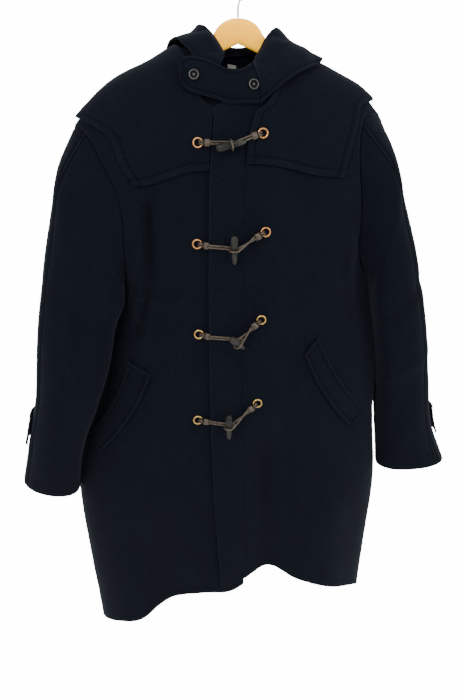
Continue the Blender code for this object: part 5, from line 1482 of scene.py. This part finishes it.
ROUGH_SPREAD = 0.12
GRAIN = (5.0, 0.6)       # detail and roughness of the grain
GRAIN_RANGE = (0.35, 0.65)           # its values where the first and the second colour are pure
GRAIN_BUMP = 0.5


def finish(name):
    """A plain finish, made once: a fine random grain over the object's own coordinates."""
    if name in bpy.data.materials:
        return bpy.data.materials[name]
    row = FINISHES[name]
    colour = getattr(bpy.context.scene.coat_trims, row.colour) if isinstance(row.colour, str) else row.colour
    colour = [part * tint for part, tint in zip(colour, row.tint)]
    second = row.second if isinstance(row.second, tuple) else [part * row.second for part in colour]
    material, tree, shader = new_material(name)
    place = node(tree, "ShaderNodeTexCoord").outputs["Object"]
    place = node(tree, "ShaderNodeMapping", {"Vector": place, "Scale": row.stretch}).outputs["Vector"]
    grain = noise_over(tree, place, row.scale, *GRAIN)
    low, high = max(row.roughness - ROUGH_SPREAD, 0.02), row.roughness + ROUGH_SPREAD
    plug(tree, shader, {
        "Base Color": blended(tree, ranged(tree, grain, *GRAIN_RANGE), (*colour, 1), (*second, 1)),
        "Roughness": ranged(tree, grain, 0.0, 1.0, low, high),
        "Normal": bumped(tree, grain, GRAIN_BUMP, row.depth)})
    shader.inputs["Metallic"].default_value = row.metallic
    shader.inputs["Specular IOR Level"].default_value = row.specular
    return material


# ---------------------------------------------------------------- buttons, rods and turned pieces
def frame_at(point, up, along):
    """A matrix that stands on point with its Z along up and its X near along."""
    up = up.normalized()
    across = up.cross(along).normalized()
    matrix = Matrix((across.cross(up), across, up)).transposed().to_4x4()
    matrix.translation = point
    return matrix


def turned(name, profile, sides, stand, material, closed=False):
    """A piece turned round its own Z axis from a profile of radius and height."""
    bm = bmesh.new()
    ring = [bm.verts.new((radius, 0, height)) for radius, height in profile]
    pairs = list(zip(ring, ring[1:])) + [(ring[-1], ring[0])] * closed
    edges = [bm.edges.new(pair) for pair in pairs]
    bmesh.ops.spin(bm, geom=ring + edges, cent=(0, 0, 0), axis=(0, 0, 1), angle=2 * math.pi,
                   steps=sides, use_merge=True)
    bmesh.ops.remove_doubles(bm, verts=bm.verts[:], dist=0.00002)
    bm.transform(stand)
    bm.normal_update()
    bmesh.ops.recalc_face_normals(bm, faces=bm.faces[:])
    return finished(name, bm, material)


def circle_profile(reach, radius, corners):
    steps = [2 * math.pi * i / corners for i in range(corners)]
    return [(reach + radius * math.cos(step), radius * math.sin(step)) for step in steps]


def strand_curve(points, steps):
    """A smooth way through points, in steps."""
    knots = [0.0]
    for before, after in zip(points, points[1:]):
        knots.append(knots[-1] + (after - before).length)
    way = spline(knots, points)
    return [way(knots[-1] * i / steps) for i in range(steps + 1)]


def fine_profile(profile, steps):
    """A profile read again on a smooth curve."""
    flat = [Vector((radius, height, 0)) for radius, height in profile]
    return [(max(point.x, 0.0), point.y) for point in strand_curve(flat, steps)]


def tube(name, rings, material):
    """A closed skin over rings of points."""
    rings = np.array(rings, float)
    along, around = rings.shape[:2]
    bm = bmesh.new()
    bmesh.ops.create_grid(bm, x_segments=around, y_segments=along - 1, size=0.5)
    for vert in bm.verts:
        i = round((vert.co.x + 0.5) * around) % around
        j = round((vert.co.y + 0.5) * (along - 1))
        vert.co = rings[j, i]
    bmesh.ops.remove_doubles(bm, verts=bm.verts[:], dist=0.000001)
    bmesh.ops.holes_fill(bm, edges=[edge for edge in bm.edges if edge.is_boundary], sides=0)
    bm.normal_update()
    bmesh.ops.recalc_face_normals(bm, faces=bm.faces[:])
    return finished(name, bm, material)


def rod(name, points, radius, material):
    """A round strand or wire as a curve."""
    data = bpy.data.curves.new(name, "CURVE")
    data.dimensions = "3D"
    data.bevel_depth = radius
    data.bevel_resolution = 3
    data.use_fill_caps = True
    line = data.splines.new("POLY")
    line.points.add(len(points) - 1)
    for spot, point in zip(line.points, points):
        spot.co = (*point, 1)
    data.materials.append(material)
    return placed(name, data)


RIM_START = 0.0062       # a button's rim, which takes the lighter finish of a painted highlight: from this radius and height
RIM_LOW = 0.0020
BUTTON_THREAD = (0.0026, 0.0005, 0.0004)     # half the size of one crossing thread
BUTTON_THREAD_UP = 0.0029


def make_button(name, point, normal):
    """A four-hole button with a raised rim, sewn on with crossed thread; the rim's lighter finish is a
    painted highlight.
    """
    stand = frame_at(point + normal * BUTTON_LAY, normal, Vector((1, 0, 0)))
    button = turned(name + "_disc", fine_profile(BUTTON_PROFILE, 26), 40, stand, finish("dark button"))
    button.data.materials.append(finish("button rim"))
    # the rim's faces take the lighter finish: a painted highlight
    for face in button.data.polygons:
        spot = stand.inverted() @ face.center
        face.material_index = int(math.hypot(spot.x, spot.y) > RIM_START and spot.z > RIM_LOW)
    stands_for(button, name)
    bm = bmesh.new()
    for turn in (45, 135):
        way = Matrix.Translation((0, 0, BUTTON_THREAD_UP)) @ Matrix.Rotation(math.radians(turn), 4, "Z")
        bmesh.ops.create_icosphere(bm, subdivisions=2, radius=1.0,
                                   matrix=stand @ way @ Matrix.Diagonal((*BUTTON_THREAD, 1)))
    finished(name + "_thread", bm, finish("button thread"))


# ---------------------------------------------------------------- a fastening
COPPER_ABOVE = -0.5      # the eyelets above this height have a warmer tone


def over_cloth(row, x, z, height):
    """A point over the cloth that one of the closings lies on."""
    ground = OVERLAP_LIFT
    if x < front_edge(z) or x > YOKE_LEFT_CLEAR:
        ground = YOKE_LIFT * row.on_yoke + lift_at(x) * (x > 0)
    return on_front(x, z, ground + height)[0]


def loop_way(spot, far):
    """Points of the loop's bend: past the toggle and back, under it."""
    half, reach = STRANDS_APART / 2, far + LOOP_PAST
    way = ((far - LOOP_STRAIGHT, half), (far, half), (reach - half, half), (reach, 0),
           (reach - half, -half), (far, -half), (far - LOOP_STRAIGHT, -half))
    return [spot(distance, LOOP_LOW, offset) for distance, offset in way]


def waist_way(middle, axis, up, end, across):
    """Points of the strand round the toggle's waist, from the side where the wrap's end is."""
    out = axis.cross(up).normalized()
    in_line = abs(axis.dot(end - middle)) > abs(out.dot(end - middle))
    towards = -across if in_line else end - middle
    out = out if out.dot(towards) > 0 else -out
    ahead = out.cross(axis).normalized()
    ahead = ahead if ahead.dot(up) > 0 else -ahead
    turns = [math.radians(turn) for turn in (WAIST_TURNS_ALONG if in_line else WAIST_TURNS)]
    return [middle + (out * math.cos(turn) + ahead * math.sin(turn)) * WAIST_REACH for turn in turns]


def fastening(index, row):
    """One fastening: a toggle, and on each side its eyelet, wrap and thong."""
    name = str(index)
    thick = over_cloth(row, row.thick_x, row.thick_z, TOGGLE_OUT + row.rise)
    thin = over_cloth(row, row.thin_x, row.thin_z, TOGGLE_OUT - row.rise * THIN_DROP)
    length = (thin - thick).length
    axis = (thin - thick).normalized()
    up = on_front(row.thick_x, row.thick_z, 0.0)[1]
    profile = fine_profile([(radius, share * length) for share, radius in TOGGLE_PROFILE], 40)
    toggle = turned("toggle_horn_" + name, profile, 28, frame_at(thick, axis, up.cross(axis)),
                    finish("dark horn"))
    stands_for(toggle, "toggle_" + name)
    middle = mix(thick, thin, TOGGLE_WAIST)
    for side, kind, x, z in (("right", "thong_loop_", row.loop_x, row.loop_z),
                             ("left", "thong_toggle_", row.eyelet_x, row.eyelet_z)):
        hole = Vector((x, 0, z))
        flat = Vector((middle.x - x, 0, middle.z - z))
        far = flat.length
        flat.normalize()
        aside = Vector((-flat.z, 0, flat.x))

        def spot(distance, height, offset):
            place = hole + flat * distance + aside * offset
            return over_cloth(row, place.x, place.z, height)

        normal = on_front(x, z, 0.0)[1]
        brass = finish("copper" if row.loop_z > COPPER_ABOVE else "old brass")
        lying = frame_at(over_cloth(row, x, z, LAY) + normal * EYELET_WIRE, normal, flat)
        ring = circle_profile(EYELET_RADIUS, EYELET_WIRE, 12)
        eyelet = turned("eyelet_ring_" + side + "_" + name, ring, 40, lying, brass, closed=True)
        stands_for(eyelet, "eyelet_" + side + "_" + name)
        start, end = (spot(WRAP_START + run, WRAP_HEIGHT, 0) for run in (0, WRAP_LENGTH))
        wrap_frame = frame_at(start, end - start, normal) @ Matrix.Diagonal((1, WRAP_WIDE, 1, 1))
        band = turned("wrap_band_" + side + "_" + name, WRAP_PROFILE, 28, wrap_frame, finish("brown leather"),
                      closed=True)
        stands_for(band, "thong_wrap_" + side + "_" + name)
        half = STRANDS_APART / 2
        lead = (end - start) * WRAP_LEAD
        across = (end - start).cross(normal).normalized() * half
        if across.dot(spot(WRAP_START, WRAP_HEIGHT, half) - start) < 0:
            across = -across
        first, second = (
            strand_curve([spot(distance, height, half * way) for distance, height in HOLE_WAY]
                         + [start + across * way - lead], 12) + [end + across * way + lead]
            for way in (1, -1))
        bend = loop_way(spot, far) if side == "right" else waist_way(middle, axis, up, end, across)
        round_toggle = strand_curve([first[-1]] + bend + [second[-1]], 90)
        points = first[:-1] + round_toggle + second[-2::-1]
        thong = rod(kind + "cord_" + name, points, THONG, finish("brown leather"))
        stands_for(thong, kind + name)
        tuple(points[0])


# ---------------------------------------------------------------- operators
STITCHED = 0.0115        # from a yoke's edge to its stitches
NARROW = 0.007           # from the edge of a smaller piece to its stitches
STRAP_STITCHED = 0.005
CUFF_STITCHED = 0.030
FACING = 0.057           # from the front's edge to the facing's stitches


def closer(place):
    """The same piece with its rows crowded at the armpits, where the armhole turns in fast."""
    def at(s, t):
        reach = ROWS_TO_NECK - ROWS_TO_ARMPIT if t > ROWS_TO_ARMPIT else -ROWS_TO_ARMPIT
        share = (t - ROWS_TO_ARMPIT) / reach
        return place(s, ROWS_TO_ARMPIT + reach * share * share if share < 1 else t)

    return at


class COAT_OT_body(bpy.types.Operator):
    """Makes the two fronts and the back"""
    bl_idname = "coat.body"
    bl_label = "Body"

    def execute(self, context):
        facing = Edging("free", (FACING,), 0.0026)
        sew("front_left", closer(front_left_place), (36, 114), (facing, SEAM, FREE, HIDDEN), seed=1)
        sew("front_right", closer(front_right_place), (36, 114), (SEAM, FREE, FREE, HIDDEN), seed=2)
        sew("back", closer(back_place), (54, 114), (SEAM, SEAM, FREE, SEAM), seed=3)
        return {"FINISHED"}


class COAT_OT_sleeves(bpy.types.Operator):
    """Makes the sleeves, their straps and buttons"""
    bl_idname = "coat.sleeves"
    bl_label = "Sleeves"

    def execute(self, context):
        outer, cuff = Edging("seam", (NARROW,)), Edging("free", (CUFF_STITCHED,))
        edge = Edging("free", (STRAP_STITCHED,))
        for index, name, side, rows in ((0, "left", 1, SLEEVE_LEFT), (1, "right", -1, SLEEVE_RIGHT)):
            front, back = sleeve_turns(SEAM_ROWS[index])
            sew("sleeve_" + name + "_front", sleeve_place(side, rows, front), (3 * (len(front) - 1), 44),
                (outer, SEAM, SEAM, cuff), seed=4 + index)
            sew("sleeve_" + name + "_back", sleeve_place(side, rows, back), (2 * (len(back) - 1), 44),
                (SEAM, SEAM, SEAM, cuff), seed=6 + index)
            strap = strap_place(sleeve_place(side, rows, (STRAP_END, STRAP_START)), index)
            sew("cuff_strap_" + name, strap, (36, 8), (edge, SEAM, edge, edge), seed=8 + index,
                spacing=0.003, lumps=0.5)
            make_button("cuff_button_" + name, *strap(STRAP_BUTTON, 0.5))
        return {"FINISHED"}


class COAT_OT_yoke(bpy.types.Operator):
    """Makes the yoke that lies over the shoulders"""
    bl_idname = "coat.yoke"
    bl_label = "Yoke"

    def execute(self, context):
        sewn = Edging("free", (STITCHED,), 0.0012)
        left = yoke_flap(1, yoke_left_inner, yoke_left_outer, YOKE_LEFT_LOW, YOKE_TIP_LEFT)
        right = yoke_flap(-1, yoke_right_inner, yoke_right_outer, YOKE_RIGHT_LOW, YOKE_TIP_RIGHT)
        sew("yoke_front_left", left, (24, 30), (sewn, sewn, sewn, SEAM), seed=11)
        sew("yoke_front_right", right, (24, 30), (FREE, sewn, sewn, SEAM), seed=12)
        sew("yoke_back", yoke_back_place, (54, 27), (sewn, sewn, sewn, SEAM), seed=13)
        return {"FINISHED"}


class COAT_OT_hood(bpy.types.Operator):
    """Makes the fallen hood, the tab across the throat and the label in the neck"""
    bl_idname = "coat.hood"
    bl_label = "Hood and tab"

    def execute(self, context):
        tab = surface_place(throat_tab_point())
        edge = Edging("free", (NARROW,))
        sew("throat_tab", tab, (44, 12), (edge, HIDDEN, edge, edge), seed=14, **SMALL)
        for name, s, t in TAB_BUTTONS:
            make_button("tab_button_" + name, *tab(s, t))
        left, right = surface_place(hood_point(HOOD_LEFT), -1), surface_place(hood_point(HOOD_RIGHT))
        sew("hood_left", left, (96, 66), (HIDDEN, SEAM, SEAM, edge), seed=15)
        sew("hood_right", right, (96, 66), (FREE, SEAM, SEAM, edge), seed=16)
        sew("neck_label", label_place, (8, 4), (FREE,) * 4, slot="label", look=finish("woven label"),
            thickness=LABEL_THICK, seed=17, spacing=0.001, lumps=0.1)
        return {"FINISHED"}


class COAT_OT_pockets(bpy.types.Operator):
    """Makes the welts of the slanted pockets"""
    bl_idname = "coat.pockets"
    bl_label = "Pockets"

    def execute(self, context):
        edges = (Edging("free", (NARROW,)),) * 4
        for seed, name, rows in ((18, "left", WELT_LEFT), (19, "right", WELT_RIGHT)):
            sew("pocket_welt_" + name, welt_place(rows), (28, 8), edges, thickness=WELT_THICK, seed=seed,
                **SMALL)
        return {"FINISHED"}


class COAT_OT_closings(bpy.types.Operator):
    """Makes the toggles, their thongs and loops, the wraps and the eyelets"""
    bl_idname = "coat.closings"
    bl_label = "Closings"

    def execute(self, context):
        for index, row in enumerate(CLOSINGS, 1):
            fastening(index, row)
        return {"FINISHED"}


ARM_STEPS = 180
ARM_CORNERS = 28
ARM_SQUARE = 3.4         # squareness of the hanger's section
HOOK_BENDS = 60


class COAT_OT_hanger(bpy.types.Operator):
    """Makes the wooden hanger and its hook"""
    bl_idname = "coat.hanger"
    bl_label = "Hanger"

    def execute(self, context):
        top, under, half = (column(HANGER_ARM, "x", key) for key in ("top", "under", "half"))
        rings = []
        for share in np.linspace(-1, 1, ARM_STEPS + 1):
            x = HANGER_ARM[-1].x * share
            reach = abs(x)
            middle, tall = (top(reach) + under(reach)) / 2, (top(reach) - under(reach)) / 2
            section = [squared(2 * math.pi * k / ARM_CORNERS, ARM_SQUARE) for k in range(ARM_CORNERS)]
            rings.append([(x, half(reach) * across, middle + tall * up) for across, up in section])
        stands_for(tube("hanger_arm", rings, finish("honey wood")), "hanger_wood")
        reach = HOOK_INSIDE + HOOK_WIRE
        low = HANGER_ARM[0].top + LAY
        points = [Vector((0, 0, low)), Vector((0, 0, mix(low, -HOOK_INSIDE - reach, HOOK_STEM)))]
        for i in range(HOOK_BENDS + 1):
            turn = math.radians(mix(HOOK_START, HOOK_END, i / HOOK_BENDS))
            points.append(Vector((reach * math.cos(turn), 0, reach * math.sin(turn) - HOOK_INSIDE)))
        stands_for(rod("hook_wire", points, HOOK_WIRE, finish("bright steel")), "hanger_hook")
        return {"FINISHED"}


CAMERA_PLACE = (-0.158, -1.411, -0.062)
CAMERA_TURN = (-6.0, 22.0)           # azimuth and elevation
NECK_CONE = 6.0          # degrees across the light that falls into the neck
LIGHT_SIZE = 1.7
LIGHTS = (               # name, kind, place, what it points at and the setting that holds its power
    ("main_light", "AREA", (-1.2, -2.2, 1.5), (0, 0, -0.6), "key"),
    ("fill_light", "AREA", (1.9, -1.6, 0.5), (0, 0, -0.6), "fill"),
    ("neck_light", "SPOT", (0.0, -0.9, 0.25), (0, 0, -0.10), "neck"),
)
PAPER_GLOW = 14.0
FLOOR_Z = -1.50
FLOOR_WIDE = 24
FLOOR_START = -8         # the paper runs back from here, curves up and ends high behind the coat
FLOOR_BEND = 2.0
BEND_RADIUS = 1.2
PAPER_TOP = 6.0
FLOOR_STEPS = (20, 10, 10)           # along the floor, round the bend and up the wall


def paper():
    """White paper that is lit so brightly that the camera sees it as white."""
    material, tree, shader = new_material("paper")
    shader.inputs["Base Color"].default_value = (0.86, 0.86, 0.86, 1)
    shader.inputs["Roughness"].default_value = 0.9
    shader.inputs["Emission Color"].default_value = (1, 1, 1, 1)
    seen = node(tree, "ShaderNodeLightPath").outputs["Is Camera Ray"]
    plug(tree, shader, {"Emission Strength": product(tree, seen, PAPER_GLOW)})
    return material


def paper_spot(run):
    """Depth and height of the paper after a number of steps."""
    flat, bend, wall = FLOOR_STEPS
    if run <= flat:
        return mix(FLOOR_START, FLOOR_BEND, run / flat), FLOOR_Z
    if run <= flat + bend:
        turn = math.radians(90 * (run - flat) / bend)
        return FLOOR_BEND + BEND_RADIUS * math.sin(turn), FLOOR_Z + BEND_RADIUS * (1 - math.cos(turn))
    return FLOOR_BEND + BEND_RADIUS, mix(FLOOR_Z + BEND_RADIUS, PAPER_TOP, (run - flat - bend) / wall)


def aimed(context, name, data, place, way):
    """A lamp or camera at a place, looking along a way."""
    thing = bpy.data.objects.new(name, data)
    thing.location = place
    thing.rotation_mode = "QUATERNION"
    thing.rotation_quaternion = way.to_track_quat("-Z", "Y")
    context.scene.collection.objects.link(thing)
    return thing


class COAT_OT_stage(bpy.types.Operator):
    """Makes the camera, the lights and the pale floor"""
    bl_idname = "coat.stage"
    bl_label = "Stage"

    def execute(self, context):
        look = context.scene.coat_studio
        azimuth, elevation = (math.radians(turn) for turn in CAMERA_TURN)
        way = Vector((-math.sin(azimuth) * math.cos(elevation), math.cos(azimuth) * math.cos(elevation),
                      -math.sin(elevation)))
        lens = bpy.data.cameras.new("camera")
        lens.sensor_width = 36
        lens.lens = look.focal
        context.scene.camera = aimed(context, "camera", lens, CAMERA_PLACE, way)
        for name, kind, place, target, power in LIGHTS:
            lamp = bpy.data.lights.new(name, kind)
            lamp.energy = getattr(look, power)
            if kind == "AREA":
                lamp.size = LIGHT_SIZE
            else:
                lamp.spot_size, lamp.spot_blend = math.radians(NECK_CONE), 0.5
            aimed(context, name, lamp, place, Vector(target) - Vector(place))
        world = bpy.data.worlds.new("pale room")
        world.use_nodes = True
        world.node_tree.nodes["Background"].inputs["Color"].default_value = (1, 1, 1, 1)
        world.node_tree.nodes["Background"].inputs["Strength"].default_value = look.surroundings
        context.scene.world = world
        bm = bmesh.new()
        bmesh.ops.create_grid(bm, x_segments=2, y_segments=sum(FLOOR_STEPS), size=0.5)
        for vert in bm.verts:
            vert.co = (vert.co.x * FLOOR_WIDE, *paper_spot((vert.co.y + 0.5) * sum(FLOOR_STEPS)))
        mesh = mesh_of("floor", bm)
        mesh.materials.append(paper())
        floor = bpy.data.objects.new("floor", mesh)
        context.scene.collection.objects.link(floor)
        return {"FINISHED"}


class COAT_PT_panel(bpy.types.Panel):
    """The coat's sizes, colours and steps"""
    bl_label = "Duffle coat"
    bl_idname = "COAT_PT_panel"
    bl_space_type = "VIEW_3D"
    bl_region_type = "UI"
    bl_category = "Duffle coat"

    def draw(self, context):
        scene = context.scene
        for group in (scene.coat_cloth, scene.coat_trims, scene.coat_studio):
            box = self.layout.box()
            for name in group.__annotations__:
                box.prop(group, name)
        for step in STEPS:
            self.layout.operator(step.bl_idname)


STEPS = (COAT_OT_stage, COAT_OT_body, COAT_OT_sleeves, COAT_OT_yoke, COAT_OT_hood, COAT_OT_pockets,
         COAT_OT_closings, COAT_OT_hanger)
GROUPS = (("coat_cloth", CoatCloth), ("coat_trims", CoatTrims), ("coat_studio", CoatStudio))


def register():
    for name, group in GROUPS:
        bpy.utils.register_class(group)
        setattr(bpy.types.Scene, name, bpy.props.PointerProperty(type=group))
    for made in (*STEPS, COAT_PT_panel):
        bpy.utils.register_class(made)


def unregister():
    for made in (COAT_PT_panel, *reversed(STEPS)):
        bpy.utils.unregister_class(made)
    for name, group in reversed(GROUPS):
        delattr(bpy.types.Scene, name)
        bpy.utils.unregister_class(group)


def main():
    for thing in [o for o in bpy.data.objects if o.name in ("Cube", "Light", "Camera")]:
        bpy.data.objects.remove(thing, do_unlink=True)
    register()
    bpy.ops.coat.stage()
    bpy.ops.coat.body()
    bpy.ops.coat.sleeves()
    bpy.ops.coat.yoke()
    bpy.ops.coat.hood()
    bpy.ops.coat.pockets()
    bpy.ops.coat.closings()
    bpy.ops.coat.hanger()


if __name__ == "__main__":
    main()
